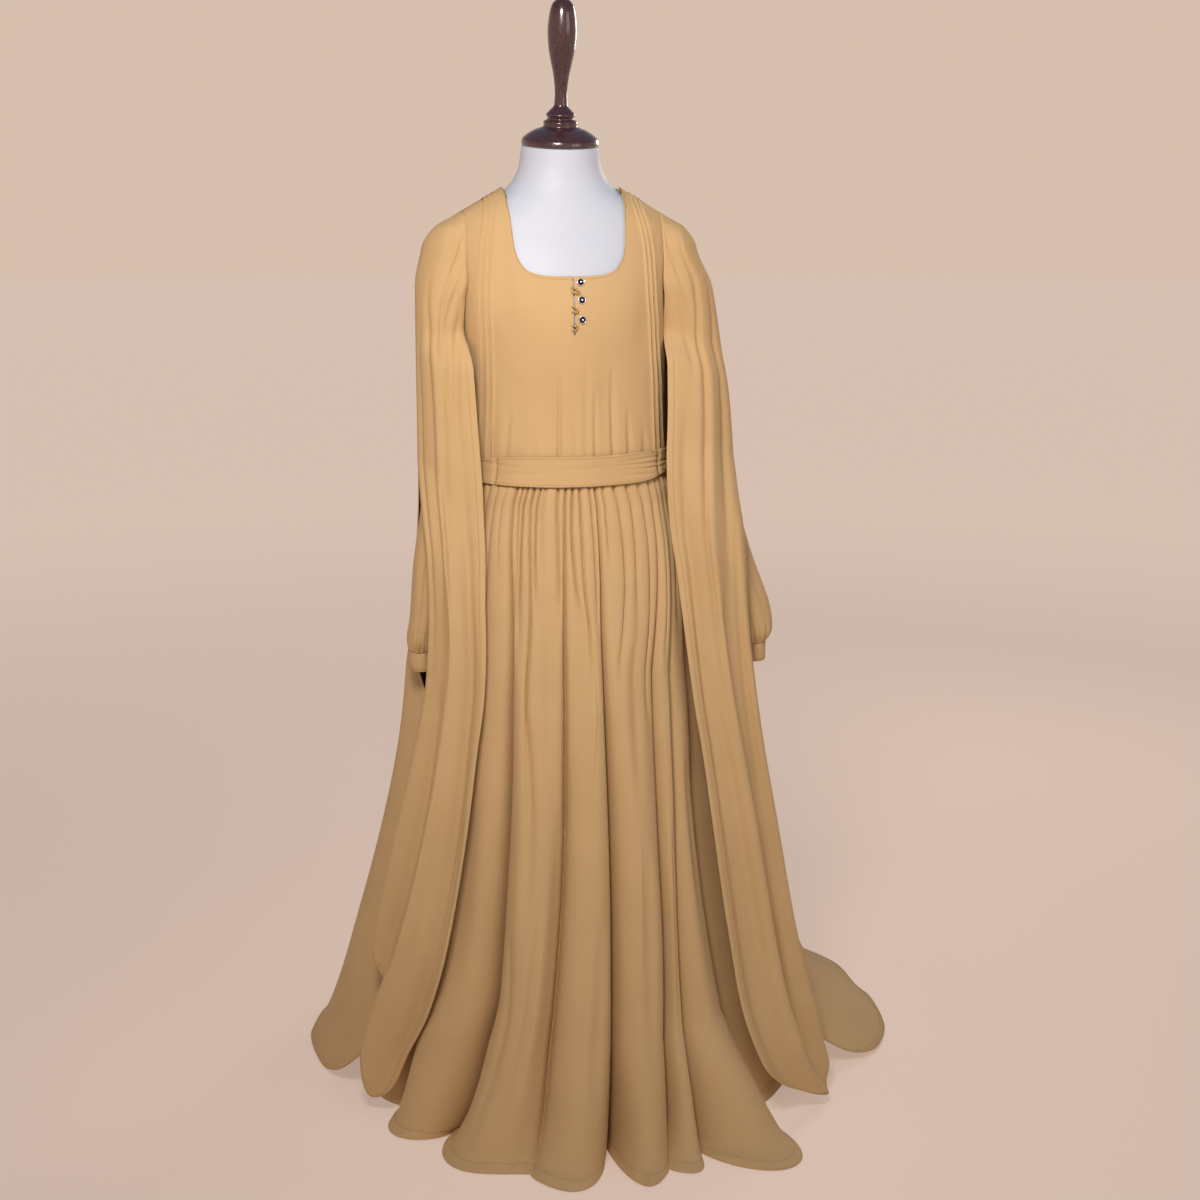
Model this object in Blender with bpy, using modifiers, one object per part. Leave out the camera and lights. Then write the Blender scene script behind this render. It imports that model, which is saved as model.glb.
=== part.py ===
"""A full-length cape abaya on a limbless dress form, standing on a round base.

Metres, +Z up. The form's axis is x = y = 0, the front looks along -Y and the floor is z = 0.
Left and right are the viewer's, from the front.
"""

import math

import bmesh
import bpy
import numpy as np
from mathutils import Matrix, Vector

CLOTH = 0.0014
GAP = 0.0004
SEAM_SHIFT = 0.0003
FLOOR_CLEAR = 0.0004
BELT_TOP = 1.039
BELT_BOTTOM = 0.985
WAIST_SEAM = 1.002
SHOULDER_NECK_X = 0.091
SIDES_JOINED_DOWN_TO = 1.02
UNDERARM_Z = 1.262
SHOULDER_END_Z = 1.380
SLIT_HALF = 0.003
SLIT_END_Z = 1.222
PLEATS_ACROSS_FRONT = 23
CAP_LEAN = math.radians(8)
NECK_TOP_Z = 1.503
POLE_RADIUS = 0.016
TORSO_BOTTOM_Z = 0.80
BASE_RADIUS = 0.165
BASE_HEIGHT = 0.028


def table(names, *rows):
    """Columns by name, sorted by the first one."""
    order = sorted(rows)
    return {name: np.array([row[i] for row in order], float) for i, name in enumerate(names.split())}


def read(source, column, at):
    """A smooth reading of one column, which never swings past its own rows."""
    xs = next(iter(source.values()))
    ys = source[column]
    at = min(max(at, xs[0]), xs[-1])
    steps = np.diff(ys) / np.diff(xs)
    i = min(max(int(np.searchsorted(xs, at)) - 1, 0), len(xs) - 2)

    def tangent(k):
        if k == 0 or k == len(xs) - 1:
            return steps[min(k, len(steps) - 1)]
        before, after = steps[k - 1], steps[k]
        return 0.0 if before * after <= 0 else 2 * before * after / (before + after)

    span = xs[i + 1] - xs[i]
    u = (at - xs[i]) / span
    return float(
        ys[i] * (2 * u**3 - 3 * u**2 + 1)
        + ys[i + 1] * (3 * u**2 - 2 * u**3)
        + tangent(i) * span * (u**3 - 2 * u**2 + u)
        + tangent(i + 1) * span * (u**3 - u**2)
    )


def ease_in(at, start, end):
    """0 before start, 1 after end and smooth between."""
    u = min(max((at - start) / (end - start), 0.0), 1.0)
    return u * u * (3 - 2 * u)


def mix(a, b, share):
    return a + (b - a) * share


# Half sections of the form: half its width, and its depth in front of and behind the axis.
BODY = table(
    "z half_width front back",
    (0.800, 0.150, 0.100, 0.108),
    (0.860, 0.163, 0.110, 0.124),
    (0.930, 0.153, 0.106, 0.112),
    (1.020, 0.124, 0.090, 0.088),
    (1.100, 0.133, 0.099, 0.092),
    (1.180, 0.148, 0.114, 0.100),
    (1.250, 0.158, 0.122, 0.104),
    (1.310, 0.167, 0.108, 0.106),
    (1.350, 0.172, 0.094, 0.102),
    (1.375, 0.170, 0.084, 0.096),
    (1.390, 0.161, 0.079, 0.090),
    (1.405, 0.141, 0.074, 0.084),
    (1.420, 0.116, 0.069, 0.078),
    (1.437, 0.088, 0.064, 0.071),
    (1.455, 0.072, 0.061, 0.065),
    (1.475, 0.064, 0.060, 0.061),
    (1.503, 0.060, 0.060, 0.060),
)

# The same with the sleeve heads' width, which the cape lies over.
CAPE_BODY = {name: column.copy() for name, column in BODY.items()}
CAPE_HALF_WIDTHS = table(
    "z half_width",
    (1.310, 0.2140),
    (1.350, 0.2090),
    (1.375, 0.1930),
    (1.390, 0.1680),
    (1.405, 0.1420),
)
for height, half_width in zip(CAPE_HALF_WIDTHS["z"], CAPE_HALF_WIDTHS["half_width"]):
    CAPE_BODY["half_width"][CAPE_BODY["z"] == height] = half_width

# How far the dress's outer face stands off the form.
DRESS_EASE = table(
    "z off",
    (0.985, 0.0230),
    (1.040, 0.0240),
    (1.080, 0.0190),
    (1.150, 0.0095),
    (1.220, 0.0045),
    (1.300, 0.0034),
    (1.440, 0.0030),
)


def body_point(x_or_angle, z, off, back=False, is_angle=False, body=BODY):
    """A point of the form's section at z, moved out along the surface's normal."""
    side = "back" if back else "front"
    half = read(body, "half_width", z)
    depth = read(body, side, z)
    step = 0.002
    half_slope = (read(body, "half_width", z + step) - read(body, "half_width", z - step)) / (2 * step)
    depth_slope = (read(body, side, z + step) - read(body, side, z - step)) / (2 * step)
    angle = x_or_angle if is_angle else math.asin(min(max(x_or_angle / half, -1.0), 1.0))
    sine, cosine = math.sin(angle), math.cos(angle)
    facing = 1.0 if back else -1.0
    point = Vector((half * sine, facing * depth * cosine, z))
    along = Vector((half * cosine, -facing * depth * sine, 0))
    upward = Vector((half_slope * sine, facing * depth_slope * cosine, 1))
    normal = along.cross(upward) if facing < 0 else upward.cross(along)
    return point + normal.normalized() * off


def shoulder_z(x, body=BODY):
    """The height where the shoulder is this wide."""
    low, high = 1.352, 1.46
    for _ in range(30):
        middle = (low + high) / 2
        if read(body, "half_width", middle) > x:
            low = middle
        else:
            high = middle
    return low


def material(name, colour, roughness, metallic=0.0):
    made = bpy.data.materials.new(name)
    made.use_nodes = True
    shader = made.node_tree.nodes["Principled BSDF"]
    shader.inputs["Base Color"].default_value = (*colour, 1)
    shader.inputs["Roughness"].default_value = roughness
    shader.inputs["Metallic"].default_value = metallic
    made.diffuse_color = (*colour, 1)
    return made


def add_object(name, mesh, surface):
    mesh.materials.append(surface)
    made = bpy.data.objects.new(name, mesh)
    PARTS.objects.link(made)
    return made


def mesh_of(name, rows, closed, left_out, caps):
    """A mesh through rows of points: closed joins each row's ends, caps fill the first and last row."""
    shape = bmesh.new()
    rings = [[shape.verts.new(point) for point in row] for row in rows]
    across = len(rows[0])
    for i in range(len(rows) - 1):
        for j in range(across if closed else across - 1):
            if (i, j) in left_out:
                continue
            k = (j + 1) % across
            shape.faces.new((rings[i][j], rings[i + 1][j], rings[i + 1][k], rings[i][k]))
    if caps:
        shape.faces.new(rings[0])
        shape.faces.new(rings[-1][::-1])
    for vert in [vert for vert in shape.verts if not vert.link_faces]:
        shape.verts.remove(vert)
    for face in shape.faces:
        face.smooth = True
    mesh = bpy.data.meshes.new(name)
    shape.to_mesh(mesh)
    shape.free()
    return mesh


def cloth(name, rows, surface, closed=False, left_out=(), turned=False):
    """A cloth piece: rows of points on its outer face, top to bottom, thickened inwards."""
    if turned:
        rows = [row[::-1] for row in rows]
    made = add_object(name, mesh_of(name, rows, closed, left_out, False), surface)
    wall = made.modifiers.new("wall", "SOLIDIFY")
    wall.thickness = CLOTH
    wall.offset = -1
    return made


def turned_solid(name, profile, steps, surface):
    """A solid turned about Z from a profile at +X, from the top down."""
    mesh = bpy.data.meshes.new(name)
    points = [(radius, 0, z) for radius, z in profile]
    mesh.from_pydata(points, [(i, i + 1) for i in range(len(points) - 1)], [])
    made = add_object(name, mesh, surface)
    screw = made.modifiers.new("turned", "SCREW")
    screw.steps = steps
    screw.render_steps = steps
    screw.use_merge_vertices = True
    screw.merge_threshold = 0.0001
    screw.use_smooth_shade = True
    return made


# The form

NECK_CAP_PROFILE = table(
    "down radius",
    (0.000, 0.0000),
    (0.003, 0.0095),
    (0.010, 0.0160),
    (0.022, 0.0196),
    (0.048, 0.0222),
    (0.072, 0.0205),
    (0.095, 0.0160),
    (0.115, 0.0118),
    (0.140, 0.0095),
    (0.156, 0.0105),
    (0.165, 0.0180),
    (0.170, 0.0225),
    (0.176, 0.0200),
    (0.181, 0.0262),
    (0.187, 0.0262),
    (0.193, 0.0400),
    (0.201, 0.0530),
    (0.207, 0.0590),
    (0.213, 0.0600),
    (0.216, 0.0570),
)


def build_form():
    around = 20
    heights = [TORSO_BOTTOM_Z, 0.86, 0.94, 1.01, 1.09, 1.18, 1.25, 1.31, 1.35]
    heights += [1.372, 1.382, 1.39, 1.398, 1.405, 1.413, 1.421, 1.43, 1.438, 1.447, 1.46, NECK_TOP_Z]
    rows = []
    for z in reversed(heights):
        row = []
        for k in range(around):
            angle = math.tau * k / around
            back = math.cos(angle) < 0
            inset = 0.0008 * ease_in(z, 1.18, 1.26)
            point = body_point(math.asin(math.sin(angle)), z, -inset, back, is_angle=True)
            point.z += point.y * math.tan(CAP_LEAN) * ease_in(z, 1.44, 1.50)
            row.append(point)
        rows.append(row)
    add_object("form_torso", mesh_of("form_torso", rows, True, (), True), FORM_COVER)

    heights = NECK_CAP_PROFILE["down"]
    profile = [(radius, -down) for down, radius in zip(heights, NECK_CAP_PROFILE["radius"])]
    profile.append((0.0, -heights[-1]))
    cap = turned_solid("form_neck_cap", profile, 16, DARK_WOOD)
    foot = Vector((0, 0, NECK_TOP_Z))
    lean = Matrix.Rotation(CAP_LEAN, 4, "X")
    cap.matrix_world = Matrix.Translation(foot) @ lean @ Matrix.Translation((0, 0, heights[-1] + GAP))

    base_profile = [
        (0.0, BASE_HEIGHT),
        (0.045, BASE_HEIGHT),
        (0.060, 0.024),
        (0.140, 0.016),
        (0.160, 0.012),
        (BASE_RADIUS, 0.006),
        (BASE_RADIUS, 0.0),
        (0.0, 0.0),
    ]
    turned_solid("stand_base", base_profile, 24, STAND_STEEL)
    pole_top, pole_foot = TORSO_BOTTOM_Z - 0.0003, BASE_HEIGHT + 0.0003
    pole_profile = [(0.0, pole_top), (POLE_RADIUS, pole_top), (POLE_RADIUS, pole_foot), (0.0, pole_foot)]
    turned_solid("stand_pole", pole_profile, 12, STAND_STEEL)


# The bodice

# Each column runs from the waist to a place on the neckline or the shoulder seam.
NECK_COLUMNS = table(
    "x_chest x_top z_top",
    (0.003, 0.003, 1.3080),
    (0.022, 0.022, 1.3080),
    (0.042, 0.044, 1.3095),
    (0.060, 0.066, 1.3165),
    (0.073, 0.079, 1.3330),
    (0.082, 0.0850, 1.3550),
    (0.087, 0.0870, 1.3800),
    (0.091, 0.0882, 1.4000),
    (0.095, 0.0893, 1.4150),
    (0.098, 0.0902, 1.4260),
    (0.101, 0.0910, 1.4345),
)
PINTUCKS = table("x_chest", (0.119,), (0.127,), (0.135,))
PINTUCK_HEIGHT = 0.0016
PINTUCK_HALF = 0.0022

# How the columns draw together away from the chest.
GRAIN = table(
    "z spread",
    (1.000, 0.840),
    (1.100, 0.900),
    (1.200, 0.970),
    (1.270, 1.000),
    (1.350, 0.975),
    (1.417, 0.875),
)
LAST_GRAIN_X = 0.140
SIDE_X_CHEST = 0.163


def side_x(z):
    """The side seam, then the armhole's edge, up to the shoulder's end."""
    up = min(max((z - UNDERARM_Z) / (SHOULDER_END_Z - UNDERARM_Z), 0.0), 1.0)
    cut = 0.10 * math.sin(math.pi * up) ** 0.6
    return read(BODY, "half_width", min(z, SHOULDER_END_Z)) * (1 - cut)


def front_x(x_chest, z):
    """Where a column of the front lies at this height."""
    grain = read(GRAIN, "spread", z)
    if x_chest > LAST_GRAIN_X:
        share = (x_chest - LAST_GRAIN_X) / (SIDE_X_CHEST - LAST_GRAIN_X)
        return mix(LAST_GRAIN_X * grain, side_x(z), share)
    top = NECK_COLUMNS["x_chest"][-1]
    if x_chest > top:
        return x_chest * grain
    x_top = float(np.interp(x_chest, NECK_COLUMNS["x_chest"], NECK_COLUMNS["x_top"]))
    z_top = float(np.interp(x_chest, NECK_COLUMNS["x_chest"], NECK_COLUMNS["z_top"]))
    return mix(x_chest * grain, x_top, ease_in(z, 1.18, z_top))


def column_top(x_chest):
    if x_chest <= NECK_COLUMNS["x_chest"][-1]:
        return float(np.interp(x_chest, NECK_COLUMNS["x_chest"], NECK_COLUMNS["z_top"]))
    if x_chest >= SIDE_X_CHEST:
        return SHOULDER_END_Z
    low, high = SHOULDER_END_Z, 1.46
    for _ in range(30):
        middle = (low + high) / 2
        if read(BODY, "half_width", middle) > front_x(x_chest, middle):
            low = middle
        else:
            high = middle
    return low


def dress_off(z):
    return read(DRESS_EASE, "off", z)


def front_columns():
    half = list(NECK_COLUMNS["x_chest"])
    for tuck in PINTUCKS["x_chest"]:
        half += [tuck - PINTUCK_HALF, tuck, tuck + PINTUCK_HALF]
    half += [0.1460, 0.1530, 0.1585, 0.1620, SIDE_X_CHEST]
    return [-x for x in reversed(half)] + half


def tuck_height(x_chest):
    near = np.abs(PINTUCKS["x_chest"] - x_chest).min()
    return PINTUCK_HEIGHT * max(0.0, 1 - near / PINTUCK_HALF)


def build_bodice():
    count = 12
    columns = front_columns()
    rows = []
    for i in range(count):
        share = 1 - (i / (count - 1)) ** 2.2
        row = []
        for x_signed in columns:
            x_chest = abs(x_signed)
            z = mix(WAIST_SEAM, column_top(x_chest), share)
            x = math.copysign(front_x(x_chest, z), x_signed)
            point = body_point(x, z, dress_off(z) + tuck_height(x_chest))
            row.append(point - Vector((0, SEAM_SHIFT, 0)))
        rows.append(row)
    middle = len(columns) // 2 - 1
    slit = set()
    for i in range(count - 1):
        if rows[i + 1][middle].z > SLIT_END_Z - 0.01:
            slit.add((i, middle))
    cloth("bodice_front", rows, CREPE, left_out=slit)

    half = [0, 10, 20, 29, 34, 40, 50, 60, 70, 80, 90]
    angles = [math.radians(angle) for angle in [-angle for angle in half[:0:-1]] + half]
    rows = []
    for i in range(count):
        share = 1 - (i / (count - 1)) ** 2.2
        row = []
        for angle in angles:
            x_top = side_x(SHOULDER_END_Z) * math.sin(angle)
            if abs(x_top) < SHOULDER_NECK_X:
                z_top = 1.435 - 0.010 * (1 - (x_top / SHOULDER_NECK_X) ** 2)
            else:
                z_top = shoulder_z(abs(x_top))
            z = mix(WAIST_SEAM, z_top, share)
            x = side_x(z) * math.sin(angle)
            row.append(body_point(x, z, dress_off(z), back=True) + Vector((0, SEAM_SHIFT, 0)))
        rows.append(row)
    cloth("bodice_back", rows, CREPE, turned=True)


# The skirt

SKIRT_SECTION = table(
    "z side front back",
    (0.000, 0.350, 0.400, 0.420),
    (0.080, 0.325, 0.375, 0.385),
    (0.200, 0.288, 0.335, 0.335),
    (0.400, 0.243, 0.280, 0.275),
    (0.600, 0.213, 0.226, 0.225),
    (0.800, 0.188, 0.172, 0.178),
    (0.900, 0.173, 0.142, 0.152),
    (0.960, 0.158, 0.124, 0.126),
    (1.002, 0.1505, 0.1155, 0.1140),
)
FOLD_DEPTH = table(
    "z depth",
    (0.000, 0.085),
    (0.100, 0.078),
    (0.250, 0.062),
    (0.450, 0.044),
    (0.650, 0.026),
    (0.800, 0.012),
    (0.900, 0.004),
    (0.980, 0.000),
)

# The deep valleys of the front in degrees from the front, at the heights in their names; deep is a
# share of FOLD_DEPTH, and reach and lobe are how far the hem runs out at the valley and beyond it.
FRONT_VALLEYS = table(
    "pleat z97 z75 z50 z25 z0 deep reach lobe",
    (0, -90.0, -90, -90, -90, -90, 0.3, 0.325, 0.335),
    (3, -66.5, -62, -60, -60, -63, 0.8, 0.310, 0.385),
    (6, -43.0, -33, -31, -30, -42, 1.0, 0.325, 0.420),
    (10, -11.7, -10, -9, -12, -17, 0.6, 0.405, 0.455),
    (13, 11.8, 10, 8, 5, 1, 1.0, 0.310, 0.460),
    (17, 43.1, 37, 29, 22, 12, 0.7, 0.420, 0.450),
    (19, 58.7, 50, 37, 27, 21, 0.7, 0.385, 0.520),
    (22, 82.2, 66, 51, 45, 43, 0.9, 0.360, 0.380),
    (23, 90.0, 90, 90, 90, 90, 0.3, 0.360, 0.360),
)
BACK_VALLEYS = table(
    "pleat z97 z75 z50 z25 z0 deep reach lobe",
    (0, 90.0, 90, 90, 90, 90, 0.3, 0.360, 0.400),
    (3, 113.5, 111, 108, 110, 108, 0.8, 0.350, 0.430),
    (6, 137.0, 134, 133, 130, 134, 0.9, 0.360, 0.450),
    (9, 160.4, 160, 158, 155, 153, 0.8, 0.370, 0.470),
    (12, 183.9, 182, 184, 186, 183, 1.0, 0.360, 0.460),
    (15, 207.4, 207, 210, 209, 212, 0.7, 0.370, 0.450),
    (18, 230.9, 232, 234, 236, 233, 0.9, 0.340, 0.370),
    (21, 254.3, 254, 256, 254, 255, 0.6, 0.325, 0.335),
    (23, 270.0, 270, 270, 270, 270, 0.3, 0.325, 0.325),
)
FOOT = table(
    "share height",
    (0.30, 0.098),
    (0.60, 0.038),
    (0.84, 0.006),
    (1.00, 0.0),
)
FOOT_TOP_Z = 0.17
PLEAT_DEPTH = 0.0055


def valley_angle(valleys, i, z):
    heights = np.array([0.0, 0.25, 0.50, 0.75, 0.97])
    row = {"z": heights, "angle": np.array([valleys[name][i] for name in ("z0", "z25", "z50", "z75", "z97")])}
    return read(row, "angle", z)


def skirt_radius(angle, z, back):
    side = read(SKIRT_SECTION, "side", z)
    depth = read(SKIRT_SECTION, "back" if back else "front", z)
    return 1 / math.hypot(math.sin(angle) / side, math.cos(angle) / depth)


def skirt_point(valleys, pleat, z, back, inset):
    """A point of the skirt's outer face above the foot, at this place across the pleats."""
    bounds = valleys["pleat"]
    i = min(int(np.searchsorted(bounds, pleat, side="right")) - 1, len(bounds) - 2)
    share = (pleat - bounds[i]) / (bounds[i + 1] - bounds[i])
    start, end = valley_angle(valleys, i, z), valley_angle(valleys, i + 1, z)
    angle = math.radians(mix(start, end, share))
    ridge = math.sin(math.pi * share) ** 0.75
    deep = mix(valleys["deep"][i], valleys["deep"][i + 1], share)
    width = math.radians(end - start) * skirt_radius(angle, z, back)
    depth = min(read(FOLD_DEPTH, "depth", z) * deep, 0.42 * width)
    ends_at = 0.70 + 0.05 * math.sin(2.4 * int(pleat) + (1.7 if back else 0.0))
    pressed = ease_in(z, ends_at - 0.06, ends_at + 0.12) * (1 - ease_in(z, 0.955, 0.984))
    place = pleat % 1
    pleated = PLEAT_DEPTH * (1 - abs(place - 0.5) * 2) * pressed
    radius = skirt_radius(angle, z, back) + depth * (ridge - 0.62) + pleated - PLEAT_DEPTH / 2 * pressed
    angle = angle + inset / radius
    return angle, radius


def skirt_rows(valleys, back):
    per_pleat = 2
    count = PLEATS_ACROSS_FRONT * per_pleat
    heights = [WAIST_SEAM - GAP, 0.984, 0.962, 0.90, 0.82, 0.73, 0.62, 0.50, 0.38, 0.27, FOOT_TOP_Z]
    if back:
        heights = [WAIST_SEAM - GAP, 0.984, 0.955, 0.84, 0.69, 0.52, 0.36, FOOT_TOP_Z]
    bounds = valleys["pleat"]
    rows = []
    for z in heights:
        row = []
        for k in range(count + 1):
            inset = GAP if k == 0 else (-GAP if k == count else 0.0)
            if z > 0.98:
                angle = valleys["z97"][0] + k / count * 180
                off = body_point_at_angle(math.radians(angle), z, dress_off(max(z, 0.985)))
                row.append(off + along_ring(angle, inset))
                continue
            angle, radius = skirt_point(valleys, k / per_pleat, z, back, inset)
            row.append(Vector((radius * math.sin(angle), -radius * math.cos(angle), z)))
        rows.append(row)
    for share, height in zip(FOOT["share"], FOOT["height"]):
        row = []
        for k in range(count + 1):
            inset = GAP if k == 0 else (-GAP if k == count else 0.0)
            pleat = k / per_pleat
            i = min(int(np.searchsorted(bounds, pleat, side="right")) - 1, len(bounds) - 2)
            place = (pleat - bounds[i]) / (bounds[i + 1] - bounds[i])
            z = mix(FOOT_TOP_Z, 0.0, share)
            angle, _ = skirt_point(valleys, pleat, z, back, inset)
            _, start = skirt_point(valleys, pleat, FOOT_TOP_Z, back, inset)
            reach = mix(valleys["reach"][i], valleys["reach"][i + 1], place)
            hem = mix(reach, valleys["lobe"][i], math.sin(math.pi * place) ** 0.6)
            radius = mix(start, hem, share)
            bottom = CLOTH + FLOOR_CLEAR
            row.append(Vector((radius * math.sin(angle), -radius * math.cos(angle), bottom + height)))
        rows.append(row)
    return rows


def body_point_at_angle(bearing, z, off):
    """The dress's waist ring by bearing, from the front round."""
    back = math.cos(bearing) < 0
    half = read(BODY, "half_width", z)
    depth = read(BODY, "back" if back else "front", z)
    angle = math.atan2(math.sin(bearing) / half, abs(math.cos(bearing)) / depth)
    return body_point(angle, z, off, back, is_angle=True)


def along_ring(degrees, inset):
    bearing = math.radians(degrees)
    return Vector((math.cos(bearing), math.sin(bearing), 0)) * inset


def build_skirt():
    cloth("skirt_front", skirt_rows(FRONT_VALLEYS, False), CREPE)
    cloth("skirt_back", skirt_rows(BACK_VALLEYS, True), CREPE)


# The belt

def build_belt():
    around = 40
    rows = []
    for z in (BELT_TOP, BELT_BOTTOM):
        row = []
        for k in range(around):
            off = dress_off(z) + CLOTH + GAP + 0.0030
            row.append(body_point_at_angle(math.tau * k / around, z, off))
        rows.append(row)
    cloth("belt", rows, CREPE, closed=True)


# Buttons and loops

# Sink is how far the cloth's flat facet lies inside the curve at each button.
BUTTONS = table("z x sink", (1.2990, 0.0105, 0.0005), (1.2730, 0.0110, 0.0006), (1.2450, 0.0110, 0.0010))
BUTTON_RADIUS = 0.0062
LOOPS = table("z reach droop", (1.2870, 0.0120, 0.004), (1.2600, 0.0090, 0.003), (1.2325, 0.0085, -0.002))
LOOP_RADIUS = 0.0008


def build_fastening():
    dome = [(0.0, 0.0046), (0.0026, 0.0042), (0.0042, 0.0031), (0.0050, 0.0018), (0.0062, 0.0016)]
    dome += [(0.0062, 0.0004), (0.0, 0.0)]
    dome = [(radius * BUTTON_RADIUS / 0.0062, height) for radius, height in dome]
    dome[-1] = (0.0, 0.0004)
    for number, i in enumerate(reversed(range(len(BUTTONS["z"]))), 1):
        z, x = BUTTONS["z"][i], BUTTONS["x"][i]
        button = turned_solid(f"button_{number}", dome, 10, PEWTER)
        on = body_point(x, z, dress_off(z)) - Vector((0, SEAM_SHIFT, 0))
        out = (body_point(x, z, dress_off(z) + 0.01) - on + Vector((0, -SEAM_SHIFT, 0))).normalized()
        seat = Matrix.Translation(on + out * (GAP - BUTTONS["sink"][i]))
        button.matrix_world = seat @ out.to_track_quat("Z", "Y").to_matrix().to_4x4()
    for number, i in enumerate(reversed(range(len(LOOPS["z"]))), 1):
        z, reach, droop = LOOPS["z"][i], LOOPS["reach"][i], LOOPS["droop"][i]
        path = []
        for k in range(9):
            turn = math.pi * k / 8
            x = -SLIT_HALF - 0.0015 + reach * math.sin(turn) ** 0.8
            height = z + 0.0035 * math.cos(turn) - droop * math.sin(turn)
            lift = dress_off(height) + LOOP_RADIUS + 0.0006
            path.append(body_point(x, height, lift) - Vector((0, SEAM_SHIFT, 0)))
        curve = bpy.data.curves.new(f"button_loop_{number}", "CURVE")
        curve.dimensions = "3D"
        curve.resolution_u = 1
        curve.bevel_depth = LOOP_RADIUS
        curve.bevel_resolution = 1
        curve.use_fill_caps = True
        spline = curve.splines.new("POLY")
        spline.points.add(len(path) - 1)
        for point, place in zip(spline.points, path):
            point.co = (*place, 1)
        add_object(f"button_loop_{number}", curve, CREPE)


# Sleeves

# Rings down a sleeve: out, y and z of the centre, half sizes outwards and front to back, and the tilt.
LEFT_SLEEVE = table(
    "row out y z half_out half_deep tilt",
    (1, 0.1820, 0.003, 1.3180, 0.0480, 0.0420, 76),
    (2, 0.1900, 0.002, 1.2860, 0.0380, 0.0400, 56),
    (3, 0.1910, 0.002, 1.2400, 0.0260, 0.0380, 30),
    (4, 0.1900, 0.004, 1.1700, 0.0230, 0.0360, 8),
    (5, 0.1880, 0.005, 1.0600, 0.0230, 0.0360, 0),
    (6, 0.2000, 0.005, 0.9600, 0.0230, 0.0380, 0),
    (7, 0.2150, 0.004, 0.8600, 0.0230, 0.0420, 0),
    (8, 0.2240, 0.003, 0.7800, 0.0210, 0.0440, 0),
    (9, 0.2300, 0.002, 0.7400, 0.0200, 0.0400, 0),
    (10, 0.2300, 0.002, 0.7180, 0.0175, 0.0300, 0),
)
RIGHT_SLEEVE = table(
    "row out y z half_out half_deep tilt",
    (1, 0.1830, 0.003, 1.3180, 0.0480, 0.0420, 76),
    (2, 0.1950, 0.003, 1.2860, 0.0380, 0.0400, 56),
    (3, 0.2010, 0.004, 1.2400, 0.0270, 0.0380, 30),
    (4, 0.2130, 0.006, 1.1700, 0.0250, 0.0360, 8),
    (5, 0.2290, 0.008, 1.0600, 0.0270, 0.0360, 0),
    (6, 0.2540, 0.008, 0.9600, 0.0310, 0.0380, 0),
    (7, 0.2780, 0.006, 0.8600, 0.0370, 0.0430, 0),
    (8, 0.3040, 0.000, 0.7800, 0.0400, 0.0460, 0),
    (9, 0.3160, -0.004, 0.7350, 0.0330, 0.0420, 0),
    (10, 0.3180, -0.006, 0.7120, 0.0200, 0.0310, 0),
)
CUFF_HEIGHT = 0.030


def armhole_ring(count, out):
    """The bodice's armhole edge, moved out: from the shoulder down the front and up the back."""
    top = column_top(SIDE_X_CHEST)
    ring = []
    for k in range(count):
        turn = math.tau * k / count
        z = mix(UNDERARM_Z, top, (1 + math.cos(turn)) / 2)
        back = math.sin(turn) < 0
        point = body_point(side_x(z), z, dress_off(z), back)
        ring.append(point + Vector((out, 0, 0)))
    return ring


def sleeve_ring(rows, i, count, gather):
    ring = []
    tilt = math.radians(rows["tilt"][i])
    for k in range(count):
        turn = math.tau * k / count
        swell = 1 + gather * (1 if k % 2 else -1)
        out = rows["half_out"][i] * math.cos(turn) * swell
        deep = rows["half_deep"][i] * math.sin(turn) * swell
        ring.append(
            Vector((rows["out"][i] + out * math.cos(tilt), rows["y"][i] - deep, rows["z"][i] + out * math.sin(tilt)))
        )
    return ring


def build_sleeve(side, rows, sign):
    count = 18
    gathers = {8: 0.03, 9: 0.05}
    rings = [armhole_ring(count, 0.0019)]
    rings += [sleeve_ring(rows, i, count, gathers.get(i, 0.0)) for i in range(len(rows["row"]))]
    rings = [[Vector((sign * p.x, p.y, p.z)) for p in ring] for ring in rings]
    cloth(f"sleeve_{side}", rings, CREPE, closed=True, turned=sign > 0)
    last = {name: column[-1:] for name, column in rows.items()}
    cuff = []
    for drop in (GAP, CUFF_HEIGHT / 2, CUFF_HEIGHT):
        ring = sleeve_ring({**last, "z": last["z"] - drop}, 0, count, 0.0)
        cuff.append([Vector((sign * p.x, p.y, p.z)) for p in ring])
    cloth(f"cuff_{side}", cuff, CREPE, closed=True, turned=sign > 0)


# The cape

# The side line of the cape below the shoulder, and its outer face's distance from what it covers.
CAPE_OFF = 0.0062
CAPE_TOP_X = 0.149
CAPE_END_X = 0.2085
LEFT_SIDE = table("z x y", (0.98, 0.2270, 0), (1.10, 0.2270, 0), (1.20, 0.2275, 0), (1.30, 0.2270, 0), (1.36, 0.2155, 0))
RIGHT_SIDE = table("z x y", (0.98, 0.2830, 0), (1.10, 0.2740, 0), (1.20, 0.2580, 0), (1.30, 0.2400, 0), (1.36, 0.2155, 0))

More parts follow.
